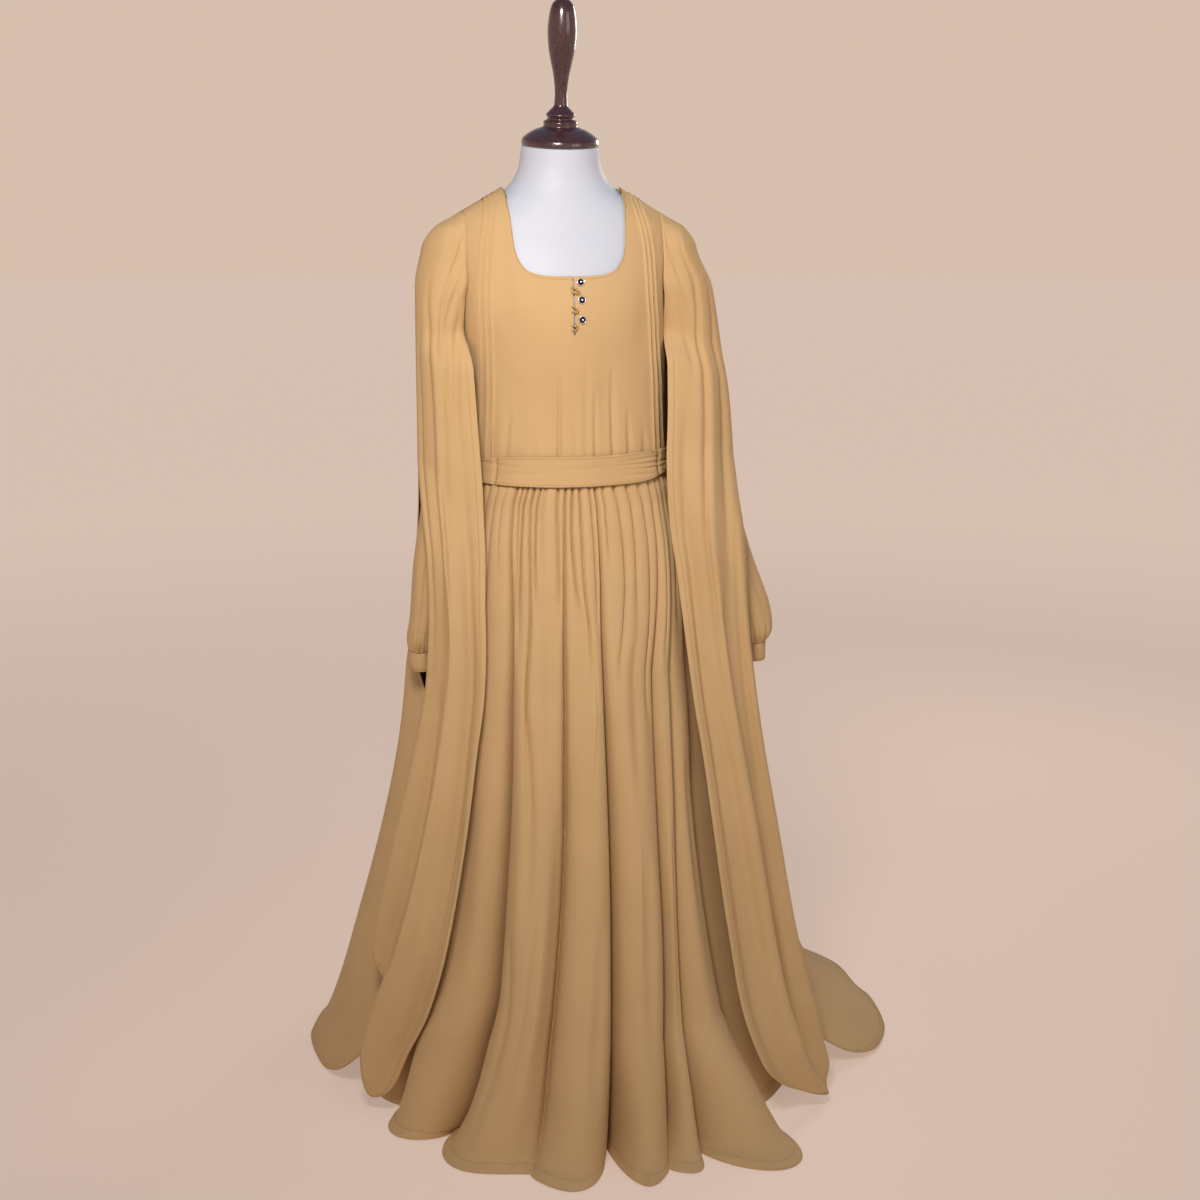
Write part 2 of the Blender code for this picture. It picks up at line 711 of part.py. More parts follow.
# The free front edge and the outer edge of each cape front, below the parts that are sewn.
LEFT_INNER = table(
    "z x y",
    (0.0018, 0.306, -0.160),
    (0.030, 0.303, -0.166),
    (0.100, 0.286, -0.190),
    (0.200, 0.250, -0.232),
    (0.290, 0.226, -0.246),
    (0.465, 0.188, -0.221),
    (0.600, 0.165, -0.194),
    (0.680, 0.151, -0.177),
    (0.750, 0.145, -0.160),
    (0.820, 0.142, -0.136),
    (0.900, 0.138, -0.112),
    (0.970, 0.138, -0.094),
    (1.090, 0.143, -0.078),
    (1.190, 0.149, -0.074),
)
LEFT_OUTER = table(
    "z x y",
    (0.260, 0.300, -0.110),
    (0.310, 0.296, -0.105),
    (0.440, 0.276, -0.095),
    (0.500, 0.262, -0.092),
    (0.637, 0.232, -0.088),
    (0.700, 0.222, -0.082),
    (0.790, 0.219, -0.074),
    (0.880, 0.222, -0.066),
    (0.960, 0.226, -0.030),
    (1.020, 0.227, 0.000),
)
RIGHT_INNER = table(
    "z x y",
    (0.0018, 0.345, -0.285),
    (0.030, 0.310, -0.300),
    (0.100, 0.262, -0.314),
    (0.200, 0.230, -0.286),
    (0.281, 0.221, -0.256),
    (0.375, 0.210, -0.234),
    (0.467, 0.202, -0.208),
    (0.574, 0.192, -0.178),
    (0.653, 0.182, -0.158),
    (0.720, 0.176, -0.140),
    (0.795, 0.170, -0.118),
    (0.843, 0.166, -0.106),
    (0.930, 0.156, -0.090),
    (1.020, 0.152, -0.085),
    (1.110, 0.155, -0.078),
    (1.190, 0.155, -0.072),
)
RIGHT_OUTER = table(
    "z x y",
    (0.0018, 0.420, -0.190),
    (0.100, 0.385, -0.170),
    (0.250, 0.355, -0.130),
    (0.420, 0.330, -0.105),
    (0.600, 0.305, -0.085),
    (0.790, 0.288, -0.075),
    (0.900, 0.285, -0.060),
    (0.960, 0.282, -0.030),
    (1.020, 0.280, 0.000),
)
CAPE_SWELL = table(
    "z left right",
    (0.000, 0.052, 0.020),
    (0.150, 0.034, 0.022),
    (0.400, 0.024, 0.024),
    (0.700, 0.020, 0.020),
    (0.900, 0.026, 0.026),
    (1.000, 0.030, 0.030),
    (1.200, 0.030, 0.030),
    (1.300, 0.022, 0.022),
    (1.350, 0.010, 0.010),
    (1.390, 0.002, 0.002),
    (1.403, 0.000, 0.000),
)
CAPE_FOLDS = table(
    "z depth",
    (0.000, 0.020),
    (0.200, 0.017),
    (0.500, 0.012),
    (0.800, 0.007),
    (1.100, 0.003),
    (1.300, 0.000),
)
LEFT_HEM = table("share z", (0.0, 0.0018), (0.25, 0.012), (0.5, 0.110), (0.75, 0.215), (1.0, 0.262))
RIGHT_HEM = table("share z", (0.0, 0.0018), (0.5, 0.0018), (1.0, 0.0018))


# How far down from the shoulder each row of the cape lies, as a share.
CAPE_DROPS = (0, 0.0012, 0.006, 0.015, 0.029, 0.05, 0.08, 0.125, 0.18, 0.25, 0.34, 0.44, 0.55)
CAPE_DROPS += (0.66, 0.76, 0.85, 0.925, 0.975, 1.0)


def cape_top_z(x):
    return shoulder_z(x, CAPE_BODY)


def cape_side_x(z):
    return max(CAPE_END_X, read(CAPE_BODY, "half_width", z))


def inner_edge(free_table, z):
    """The sewn princess line above the chest, then the free edge."""
    sewn = body_point(min(CAPE_TOP_X, side_x(z) - 0.004), z, dress_off(z) + CAPE_OFF - dress_off(1.4))
    free = Vector((read(free_table, "x", z), read(free_table, "y", z), z))
    return free.lerp(sewn, ease_in(z, 1.17, 1.235))


def outer_edge(free_table, side_table, z):
    source = side_table if z > SIDES_JOINED_DOWN_TO else free_table
    return Vector((read(source, "x", z), read(source, "y", z), z))


def cape_front_upper(share, z):
    """The cape over the shoulder, which comes down to the bodice at its sewn edge."""
    x = mix(CAPE_TOP_X, cape_side_x(z), share)
    over = body_point(x, z, CAPE_OFF, body=CAPE_BODY)
    at_edge = body_point(CAPE_TOP_X, z, CAPE_OFF, body=CAPE_BODY)
    sewn = body_point(CAPE_TOP_X, z, CAPE_OFF)
    point = over + (sewn - at_edge) * (1 - ease_in(share, 0.0, 0.6))
    point.y = min(point.y, 0.0)
    return point


def build_cape_front(side, sign, inner, outer, side_table, hem):
    columns = 12
    rows = []
    for down in CAPE_DROPS:
        row = []
        for k in range(columns + 1):
            share = k / columns
            z_top = cape_top_z(mix(CAPE_TOP_X, CAPE_END_X, share))
            z = mix(z_top, read(hem, "z", share), down)
            start = inner_edge(inner, mix(cape_top_z(CAPE_TOP_X), read(hem, "z", 0), down))
            end = outer_edge(outer, side_table, mix(cape_top_z(CAPE_END_X), read(hem, "z", 1), down))
            chord = end - start
            normal = Vector((chord.y, -chord.x, 0)).normalized()
            fold = math.cos(math.tau * 2.0 * share + 0.9) - math.cos(0.9) * (1 - share)
            swell = read(CAPE_SWELL, side, z) * 4 * share * (1 - share)
            away = swell + read(CAPE_FOLDS, "depth", z) * fold * min(1, 4 * share)
            point = start.lerp(end, share) + normal * away
            point.z = z
            upper = ease_in(z, 1.29, 1.36)
            if upper > 0:
                point = point.lerp(cape_front_upper(share, z), upper)
            row.append(Vector((sign * point.x, point.y - SEAM_SHIFT, max(point.z, CLOTH + FLOOR_CLEAR))))
        rows.append(row)
    cloth(f"cape_front_{side}", rows, CREPE, turned=sign < 0)


# Each half section of the cape's back turns past its side by these degrees, down towards the floor.
BACK_SECTION = table(
    "z back left right middle front turn_left turn_right",
    (0.0018, 0.560, 0.410, 0.590, 0.110, 0.440, 25, 40),
    (0.030, 0.520, 0.396, 0.545, 0.095, 0.400, 25, 38),
    (0.080, 0.475, 0.378, 0.480, 0.070, 0.340, 27, 36),
    (0.200, 0.400, 0.345, 0.405, 0.040, 0.250, 30, 32),
    (0.400, 0.322, 0.290, 0.346, 0.040, 0.180, 22, 20),
    (0.640, 0.255, 0.254, 0.318, 0.058, 0.120, 5, 4),
    (0.860, 0.205, 0.244, 0.305, 0.062, 0.120, 0, 0),
    (0.960, 0.182, 0.236, 0.290, 0.045, 0.120, 0, 0),
    (1.020, 0.166, 0.2270, 0.2800, 0.0, 0.120, 0, 0),
    (1.100, 0.150, 0.2270, 0.2740, 0.0, 0.120, 0, 0),
    (1.200, 0.134, 0.2275, 0.2580, 0.0, 0.120, 0, 0),
    (1.300, 0.120, 0.2270, 0.2400, 0.0, 0.120, 0, 0),
    (1.360, 0.110, 0.2155, 0.2155, 0.0, 0.120, 0, 0),
)


def build_cape_back():
    columns = 32
    rows = []
    for down in CAPE_DROPS:
        row = []
        for k in range(columns + 1):
            angle = math.radians(mix(-90, 90, k / columns))
            sine = math.sin(angle)
            x_top = CAPE_END_X * sine
            if abs(x_top) < SHOULDER_NECK_X:
                z_top = 1.434 - 0.010 * (1 - (x_top / SHOULDER_NECK_X) ** 2)
            else:
                z_top = cape_top_z(abs(x_top))
            z = mix(z_top, CLOTH + FLOOR_CLEAR, down)
            side = "left" if sine < 0 else "right"
            turn = angle * (1 + read(BACK_SECTION, f"turn_{side}", z) / 90)
            middle = read(BACK_SECTION, "middle", z)
            fold = read(CAPE_FOLDS, "depth", z) * 1.8 * max(0.0, math.cos(angle)) ** 1.5
            fold *= math.sin(9 * angle + 0.8 * math.sin(2 * angle) + 0.6) + 0.45
            wide = read(BACK_SECTION, side, z) + fold
            deep = read(BACK_SECTION, "back", z) - middle if math.cos(turn) > 0 else read(BACK_SECTION, "front", z)
            point = Vector((wide * math.sin(turn), middle + (deep + fold) * math.cos(turn), z))
            upper = ease_in(z, 1.29, 1.36)
            if upper > 0:
                over = body_point(cape_side_x(z) * sine, z, CAPE_OFF, back=True, body=CAPE_BODY)
                point = point.lerp(over, upper)
            row.append(point + Vector((0, SEAM_SHIFT, 0)))
        rows.append(row)
    cloth("cape_back", rows, CREPE, turned=True)


for old in list(bpy.data.objects):
    bpy.data.objects.remove(old)
PARTS = bpy.data.collections.new("abaya_cloak")
bpy.context.scene.collection.children.link(PARTS)

CREPE = material("matte crepe", (0.68, 0.42, 0.19), 0.9)
FORM_COVER = material("painted form", (0.74, 0.75, 0.80), 0.55)
DARK_WOOD = material("varnished dark wood", (0.05, 0.022, 0.022), 0.25)
STAND_STEEL = material("painted steel", (0.05, 0.05, 0.05), 0.45)
PEWTER = material("dark pewter", (0.16, 0.15, 0.15), 0.35, 1.0)

build_form()
build_bodice()
build_skirt()
build_belt()
build_fastening()
build_sleeve("left", LEFT_SLEEVE, -1)
build_sleeve("right", RIGHT_SLEEVE, 1)
build_cape_front("left", -1, LEFT_INNER, LEFT_OUTER, LEFT_SIDE, LEFT_HEM)
build_cape_front("right", 1, RIGHT_INNER, RIGHT_OUTER, RIGHT_SIDE, RIGHT_HEM)
build_cape_back()
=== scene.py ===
"""A cape abaya dress in mustard crepe on its dress form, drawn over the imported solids.

Metres, +Z up. The form's axis is x = y = 0, the front looks along -Y and the floor is z = 0.
Left and right are the viewer's, from the front.
"""

import math

import bpy
import numpy as np
from mathutils import Euler, Matrix, Vector


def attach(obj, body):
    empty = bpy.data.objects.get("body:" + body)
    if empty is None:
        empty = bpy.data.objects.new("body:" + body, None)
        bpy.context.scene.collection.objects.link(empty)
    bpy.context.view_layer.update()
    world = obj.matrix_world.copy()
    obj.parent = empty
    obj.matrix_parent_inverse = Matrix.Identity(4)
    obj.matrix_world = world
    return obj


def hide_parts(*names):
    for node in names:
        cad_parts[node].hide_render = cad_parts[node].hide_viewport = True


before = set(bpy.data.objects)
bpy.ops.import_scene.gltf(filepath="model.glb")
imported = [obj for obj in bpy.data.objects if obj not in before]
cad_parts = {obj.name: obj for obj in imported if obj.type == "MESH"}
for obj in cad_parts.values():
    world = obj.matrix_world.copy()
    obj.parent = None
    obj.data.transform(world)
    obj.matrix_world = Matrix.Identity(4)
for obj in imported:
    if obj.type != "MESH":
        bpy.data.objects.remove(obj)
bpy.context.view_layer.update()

CLOTH = 0.0010
HEM_RISE = 0.0018
GAP = 0.0004
# Fronts are moved this far forward and backs this far back, so that they stay apart at the sides.
SEAM_SHIFT = 0.0003
# The radius that closes the ends of turned pieces.
TIP = 0.00002
BELT_TOP = 1.039
BELT_BOTTOM = 0.985
WAIST_SEAM = 1.002
SHOULDER_NECK_X = 0.091
SIDES_JOINED_DOWN_TO = 1.02
UNDERARM_Z = 1.262
SHOULDER_END_Z = 1.380
SLIT_HALF = 0.003
SLIT_END_Z = 1.222
NECKLINE_REACH = 0.102
CAP_LEAN = math.radians(8)
CAP_HEIGHT = 0.216
NECK_TOP_Z = 1.503
POLE_RADIUS = 0.016
POLE_GAP = 0.0003
TORSO_BOTTOM_Z = 0.80
BASE_RADIUS = 0.165
BASE_HEIGHT = 0.028


# Reading tables

def table(names, *rows):
    """Columns by name, sorted by the first one."""
    order = sorted(rows)
    return {name: np.array([row[i] for row in order], float) for i, name in enumerate(names.split())}


def read(source, column, at):
    """A smooth reading of one column at one place or many, which never swings past its own rows."""
    xs = next(iter(source.values()))
    ys = source[column]
    steps = np.diff(ys) / np.diff(xs)
    before, after = steps[:-1], steps[1:]
    turning = before * after <= 0
    between = np.where(turning, 0, 2 * before * after / np.where(turning, 1, before + after))
    tangent = np.concatenate([steps[:1], between, steps[-1:]])
    at = np.clip(at, xs[0], xs[-1])
    i = np.clip(np.searchsorted(xs, at) - 1, 0, len(xs) - 2)
    span = xs[i + 1] - xs[i]
    u = (at - xs[i]) / span
    return (
        ys[i] * (2 * u**3 - 3 * u**2 + 1)
        + ys[i + 1] * (3 * u**2 - 2 * u**3)
        + tangent[i] * span * (u**3 - 2 * u**2 + u)
        + tangent[i + 1] * span * (u**3 - u**2)
    )


def ease_in(at, start, end):
    """0 before start, 1 after end and smooth between."""
    u = np.clip((at - start) / (end - start), 0.0, 1.0)
    return u * u * (3 - 2 * u)


def bell(at, half):
    """1 at zero and gone a few half widths away."""
    return np.exp(-((at / half) ** 2))


def mix(a, b, share):
    return a + (b - a) * share


def points_of(x, y, z):
    return np.stack(np.broadcast_arrays(x, y, z), -1).astype(float)


# The form's sections, the same as the solids'

BODY = table(
    "z half_width front back",
    (0.800, 0.150, 0.100, 0.108),
    (0.860, 0.163, 0.110, 0.124),
    (0.930, 0.153, 0.106, 0.112),
    (1.020, 0.124, 0.090, 0.088),
    (1.100, 0.133, 0.099, 0.092),
    (1.180, 0.148, 0.114, 0.100),
    (1.250, 0.158, 0.122, 0.104),
    (1.310, 0.167, 0.108, 0.106),
    (1.350, 0.172, 0.094, 0.102),
    (1.375, 0.170, 0.084, 0.096),
    (1.390, 0.161, 0.079, 0.090),
    (1.405, 0.141, 0.074, 0.084),
    (1.420, 0.116, 0.069, 0.078),
    (1.437, 0.088, 0.064, 0.071),
    (1.455, 0.072, 0.061, 0.065),
    (1.475, 0.064, 0.060, 0.061),
    (1.503, 0.060, 0.060, 0.060),
)
CAPE_BODY = {name: column.copy() for name, column in BODY.items()}
CAPE_HALF_WIDTHS = table(
    "z half_width",
    (1.310, 0.2140),
    (1.350, 0.2090),
    (1.375, 0.1930),
    (1.390, 0.1680),
    (1.405, 0.1420),
)
for height, half_width in zip(CAPE_HALF_WIDTHS["z"], CAPE_HALF_WIDTHS["half_width"]):
    CAPE_BODY["half_width"][CAPE_BODY["z"] == height] = half_width

DRESS_EASE = table(
    "z off",
    (0.985, 0.0230),
    (1.040, 0.0240),
    (1.080, 0.0190),
    (1.150, 0.0095),
    (1.220, 0.0045),
    (1.300, 0.0034),
    (1.440, 0.0030),
)


def body_point(x_or_angle, z, off, back=False, is_angle=False, body=BODY):
    """Points of the form's section at z, moved out along the surface's normal."""
    side = "back" if back else "front"
    half = read(body, "half_width", z)
    depth = read(body, side, z)
    step = 0.002
    half_slope = (read(body, "half_width", z + step) - read(body, "half_width", z - step)) / (2 * step)
    depth_slope = (read(body, side, z + step) - read(body, side, z - step)) / (2 * step)
    angle = x_or_angle if is_angle else np.arcsin(np.clip(x_or_angle / half, -1.0, 1.0))
    sine, cosine = np.sin(angle), np.cos(angle)
    facing = 1.0 if back else -1.0
    point = points_of(half * sine, facing * depth * cosine, z)
    along = points_of(half * cosine, -facing * depth * sine, 0)
    upward = points_of(half_slope * sine, facing * depth_slope * cosine, 1)
    normal = np.cross(upward, along) if back else np.cross(along, upward)
    normal /= np.linalg.norm(normal, axis=-1, keepdims=True)
    return point + normal * np.broadcast_to(off, normal.shape[:-1])[..., None]


def body_ring(bearing, z, off):
    """The dress's waist by bearing, from the front round."""
    half = read(BODY, "half_width", z)
    rings = []
    for back in (False, True):
        depth = read(BODY, "back" if back else "front", z)
        angle = np.arctan2(np.sin(bearing) / half, np.abs(np.cos(bearing)) / depth)
        rings.append(body_point(angle, z, off, back, is_angle=True))
    behind = np.broadcast_to(np.cos(bearing) < 0, rings[0].shape[:-1])[..., None]
    return np.where(behind, rings[1], rings[0])


# The dress stands off the form on the viewer's right of the waist, where the cape and the belt pull it.
WAIST_PULL = table(
    "z out",
    (0.70, 0.000),
    (0.90, 0.013),
    (1.00, 0.017),
    (1.12, 0.016),
    (1.20, 0.008),
    (1.27, 0.000),
)


def pulled(grid):
    grid = grid.copy()
    grid[..., 0] += read(WAIST_PULL, "out", grid[..., 2]) * ease_in(grid[..., 0], 0.04, 0.14)
    return grid


def shoulder_z(x, body=BODY):
    """The height where the shoulder is this wide."""
    low, high = np.full(np.shape(x), 1.352), np.full(np.shape(x), 1.46)
    for _ in range(30):
        middle = (low + high) / 2
        wider = read(body, "half_width", middle) > x
        low, high = np.where(wider, middle, low), np.where(wider, high, middle)
    return low


def dress_off(z):
    return read(DRESS_EASE, "off", z)


# Sheets of cloth as grids of points, each row from left to right seen from outside

def push(grid, amount, turned=False, closed=False):
    """The grid moved out along its own normals by these amounts."""
    padded = np.concatenate([grid[:, -1:], grid, grid[:, :1]], axis=1) if closed else grid
    down = np.gradient(padded, axis=0)
    across = np.gradient(padded, axis=1)
    normal = np.cross(down, across)
    if closed:
        normal = normal[:, 1:-1]
    normal /= np.linalg.norm(normal, axis=-1, keepdims=True) + 1e-12
    return grid + normal * (-amount if turned else amount)[..., None]


def creased(creases, along, z):
    """How far soft creases take the cloth in, each deepest in its middle and gone at its ends."""
    total = np.zeros(np.broadcast(along, z).shape)
    for start, high, bend, end, low, half, deep in zip(*creases.values()):
        t = np.clip((high - z) / (high - low), 0, 1)
        line = start + (end - start) * t + bend * 4 * t * (1 - t)
        total -= deep * np.sin(math.pi * t) ** 0.8 * bell(along - line, half)
    return total


def sheet_object(name, grid, surface, closed=False, left_out=None, turned=False, wall=CLOTH):
    """A cloth piece from its grid, with its own map in metres along the threads."""
    rows, across = grid.shape[:2]
    index = np.arange(rows * across).reshape(rows, across)
    right = np.roll(index, -1, axis=1) if closed else index[:, 1:]
    left = index if closed else index[:, :-1]
    quads = np.stack([left[:-1], left[1:], right[1:], right[:-1]], -1)
    width = np.linalg.norm(np.diff(grid[rows // 2], axis=0, append=grid[rows // 2][:1]), axis=-1)
    u = np.concatenate([[0], np.cumsum(width)])
    lengths = np.linalg.norm(np.diff(grid, axis=0), axis=-1)
    v = -np.concatenate([np.zeros((1, across)), np.cumsum(lengths, axis=0)])
    v = np.concatenate([v, v[:, :1]], axis=1)
    i, j = np.indices(quads.shape[:2])
    corners = [(i, j), (i + 1, j), (i + 1, j + 1), (i, j + 1)]
    maps = np.stack([np.stack([u[c], v[r, c]], -1) for r, c in corners], 2)
    if left_out is not None:
        quads, maps = quads[~left_out], maps[~left_out]
    quads, maps = quads.reshape(-1, 4), maps.reshape(-1, 4, 2)
    if turned:
        quads, maps = quads[:, ::-1], maps[:, ::-1]
    mesh = bpy.data.meshes.new(name)
    mesh.from_pydata(grid.reshape(-1, 3).tolist(), [], quads.tolist())
    mesh.uv_layers.new(name="threads").data.foreach_set("uv", maps.ravel())
    mesh.shade_smooth()
    mesh.materials.append(surface)
    made = bpy.data.objects.new(name, mesh)
    bpy.context.scene.collection.objects.link(made)
    if wall:
        thick = made.modifiers.new("wall", "SOLIDIFY")
        thick.thickness = wall
        thick.offset = -1
    return made


def turned_object(name, profile, steps, surfaces, place=Matrix()):
    """A solid turned about Z from radii and heights, from the top down, with its place in its mesh."""
    profile = np.array(profile)
    turn = np.linspace(0, math.tau, steps, endpoint=False)
    radius, height = profile[:, :1], profile[:, 1:2]
    grid = points_of(radius * np.sin(turn), -radius * np.cos(turn), height)
    made = sheet_object(name, grid, surfaces[0], closed=True, wall=0)
    for surface in surfaces[1:]:
        made.data.materials.append(surface)
    made.data.transform(place)
    made.data.update()
    return made


def rounded_corner(grid, reach):
    """The grid with the corner of its last row and first column cut to a curve of this reach in metres."""
    rows, columns = np.arange(grid.shape[0]), np.arange(grid.shape[1])
    rises = np.linalg.norm(np.diff(grid[:, 0], axis=0), axis=-1)
    up = np.append(np.cumsum(rises[::-1])[::-1], 0.0)
    over = np.append(0.0, np.cumsum(np.linalg.norm(np.diff(grid[-1], axis=0), axis=-1)))
    u = 1 - np.clip(over / reach, 0, 1)[None, :]
    v = 1 - np.clip(up / reach, 0, 1)[:, None]
    inward = np.interp((1 - u * np.sqrt(1 - v**2 / 2)) * reach, over, columns)
    upward = np.interp((1 - v * np.sqrt(1 - u**2 / 2)) * reach, up[::-1], rows[::-1])
    column = np.where(u > 0, inward, columns[None, :])
    row = np.where(v > 0, upward, rows[:, None])
    r = np.clip(row.astype(int), 0, rows[-1] - 1)
    c = np.clip(column.astype(int), 0, columns[-1] - 1)
    down, along = (row - r)[..., None], (column - c)[..., None]
    return mix(mix(grid[r, c], grid[r, c + 1], along), mix(grid[r + 1, c], grid[r + 1, c + 1], along), down)


def inside_line(grid, distance, lift):
    """A line at this distance in from the grid's first row, just proud of its outer face."""
    steps = np.cumsum(np.linalg.norm(np.diff(grid, axis=0), axis=-1), axis=0)
    steps = np.concatenate([np.zeros((1, grid.shape[1])), steps])

    def line_at(reach):
        ends = [[np.interp(reach, steps[:, k], grid[:, k, axis]) for axis in range(3)]
                for k in range(grid.shape[1])]
        return np.array(ends)

    line, beyond = line_at(distance), line_at(distance + 0.003)
    normal = np.cross(beyond - line, np.gradient(line, axis=0))
    normal /= np.linalg.norm(normal, axis=-1, keepdims=True) + 1e-12
    return line + normal * lift


# Sewing

# Real thread is 0.25 mm thick; it is drawn at 0.7 mm so that it shows at all.
STITCH_PITCH = 0.0044
STITCH_LENGTH = 0.0034
THREAD_RADIUS = 0.00035
STITCH_LIFT = 0.00012


def stitch_tree():
    """Stitches end to end along the lines of a mesh: each one a short thread with rounded ends."""
    tree = bpy.data.node_groups.new("running stitches", "GeometryNodeTree")
    sockets = tree.interface
    sockets.new_socket("Geometry", in_out="OUTPUT", socket_type="NodeSocketGeometry")
    sockets.new_socket("Lines", in_out="INPUT", socket_type="NodeSocketGeometry")
    for name in ("Pitch", "Length", "Radius"):
        sockets.new_socket(name, in_out="INPUT", socket_type="NodeSocketFloat")
    sockets.new_socket("Thread", in_out="INPUT", socket_type="NodeSocketMaterial")
    given = add_node(tree, "NodeGroupInput")
    lines = add_node(tree, "GeometryNodeMeshToCurve", {}, {"Mesh": given.outputs["Lines"]})
    spaced = add_node(
        tree,
        "GeometryNodeResampleCurve",
        {"mode": "LENGTH"},
        {"Curve": lines.outputs["Curve"], "Length": given.outputs["Pitch"]},
    )
    along = add_node(tree, "GeometryNodeInputTangent")
    turned = add_node(
        tree, "FunctionNodeAlignRotationToVector", {"axis": "Z"}, {"Vector": along.outputs["Tangent"]}
    )
    bead = add_node(tree, "GeometryNodeMeshUVSphere", {"Segments": 4, "Rings": 3, "Radius": 1.0})
    half = add_node(tree, "ShaderNodeMath", {"operation": "MULTIPLY"}, {0: given.outputs["Length"]})
    half.inputs[1].default_value = 0.5
    size = add_node(
        tree,
        "ShaderNodeCombineXYZ",
        {},
        {"X": given.outputs["Radius"], "Y": given.outputs["Radius"], "Z": half.outputs[0]},
    )
    stitches = add_node(
        tree,
        "GeometryNodeInstanceOnPoints",
        {},
        {
            "Points": spaced.outputs["Curve"],
            "Instance": bead.outputs["Mesh"],
            "Rotation": turned.outputs["Rotation"],
            "Scale": size.outputs["Vector"],
        },
    )
    real = add_node(tree, "GeometryNodeRealizeInstances", {}, {"Geometry": stitches.outputs["Instances"]})
    dyed = add_node(
        tree,
        "GeometryNodeSetMaterial",
        {},
        {"Geometry": real.outputs["Geometry"], "Material": given.outputs["Thread"]},
    )
    add_node(tree, "NodeGroupOutput", {}, {"Geometry": dyed.outputs["Geometry"]})
    return tree


def sewn(name, lines):
    """One piece with all the stitches along these lines of points."""
    points, edges = [], []
    for line in lines:
        start = len(points)
        points += [tuple(point) for point in line]
        edges += [(start + k, start + k + 1) for k in range(len(line) - 1)]
    guide = bpy.data.meshes.new(name + "_line")
    guide.from_pydata(points, edges, [])
    made = bpy.data.objects.new(name, guide)
    bpy.context.scene.collection.objects.link(made)
    modifier = made.modifiers.new("stitches", "NODES")
    modifier.node_group = STITCHES
    values = {"Pitch": STITCH_PITCH, "Length": STITCH_LENGTH, "Radius": THREAD_RADIUS, "Thread": THREAD}
    for socket in STITCHES.interface.items_tree:
        if socket.in_out == "INPUT" and socket.name in values:
            modifier[socket.identifier] = values[socket.name]
    bpy.context.view_layer.update()
    whole = bpy.data.meshes.new_from_object(made.evaluated_get(bpy.context.evaluated_depsgraph_get()))
    made.modifiers.clear()
    made.data = whole
    bpy.data.meshes.remove(guide)
    whole.shade_smooth()
    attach(made, "root")
    return made


# Materials

def linear(code):
    """A colour from its sRGB hex code."""
    parts = [int(code[i : i + 2], 16) / 255 for i in (0, 2, 4)]
    return tuple(p / 12.92 if p <= 0.04045 else ((p + 0.055) / 1.055) ** 2.4 for p in parts) + (1.0,)


def add_node(tree, kind, settings=(), links=()):
    """One node with its settings by name and its links by socket name or number."""
    node = tree.nodes.new(kind)
    for name, value in dict(settings).items():
        if name in node.inputs:
            node.inputs[name].default_value = value
        else:
            setattr(node, name, value)
    for name, source in dict(links).items():
        tree.links.new(source, node.inputs[name])
    return node


def new_material(name, colour, **sockets):
    made = bpy.data.materials.new(name)
    made.use_nodes = True
    tree = made.node_tree
    shader = tree.nodes["Principled BSDF"]
    shader.inputs["Base Color"].default_value = linear(colour)
    for socket, value in sockets.items():
        shader.inputs[socket.replace("_", " ")].default_value = value
    return made, tree, shader


def noise(tree, vector, scale, detail, **more):
    return add_node(
        tree, "ShaderNodeTexNoise", {"Scale": scale, "Detail": detail, **more}, {"Vector": vector}
    ).outputs["Fac"]


def bumped(tree, shader, height, strength, distance):
    """The shader's face raised by this height."""
    bump = add_node(
        tree, "ShaderNodeBump", {"Strength": strength, "Distance": distance}, {"Height": height}
    )
    tree.links.new(bump.outputs[0], shader.inputs["Normal"])


def crepe(name, lit, shade):
    """Matte polyester crepe, woven from hard-twisted yarn: a dry pebbled face with no shine."""
    made, tree, shader = new_material(name, lit, Roughness=0.92, IOR=1.46)
    shader.inputs["Specular IOR Level"].default_value = 0.22
    shader.inputs["Sheen Weight"].default_value = 0.10
    shader.inputs["Sheen Roughness"].default_value = 0.6
    shader.inputs["Sheen Tint"].default_value = linear("F2D2A0")
    place = add_node(tree, "ShaderNodeTexCoord")
    # Yarn is 0.3 mm; the pebble is drawn at 0.9 mm so that it shows at all.
    pebble = noise(tree, place.outputs["Object"], 1100.0, 2.0, Roughness=0.6)
    yarns = add_node(
        tree, "ShaderNodeMapping", {"Scale": (620.0, 230.0, 1.0)}, {"Vector": place.outputs["UV"]}
    )
    slubs = noise(tree, yarns.outputs[0], 1.0, 1.0)
    # Uneven dye and handling, in patches of about 12 cm.
    patches = noise(tree, place.outputs["Object"], 8.0, 3.0)
    tones = add_node(tree, "ShaderNodeMix", {"data_type": "RGBA"})
    tones.inputs[6].default_value = linear(lit)
    tones.inputs[7].default_value = linear(shade)
    spread = add_node(
        tree,
        "ShaderNodeMapRange",
        {"From Min": 0.3, "From Max": 0.7, "To Min": 0.0, "To Max": 0.42},
        {"Value": patches},
    )
    speck = add_node(
        tree,
        "ShaderNodeMapRange",
        {"From Min": 0.35, "From Max": 0.65, "To Min": -0.10, "To Max": 0.16},
        {"Value": pebble},
    )
    together = add_node(
        tree, "ShaderNodeMath", {"operation": "ADD"}, {0: spread.outputs[0], 1: speck.outputs[0]}
    )
    tree.links.new(together.outputs[0], tones.inputs["Factor"])
    tree.links.new(tones.outputs[2], shader.inputs["Base Color"])
    face = add_node(tree, "ShaderNodeMath", {"operation": "ADD"}, {0: pebble, 1: slubs})
    bumped(tree, shader, face.outputs[0], 0.35, 0.00025)
    return made


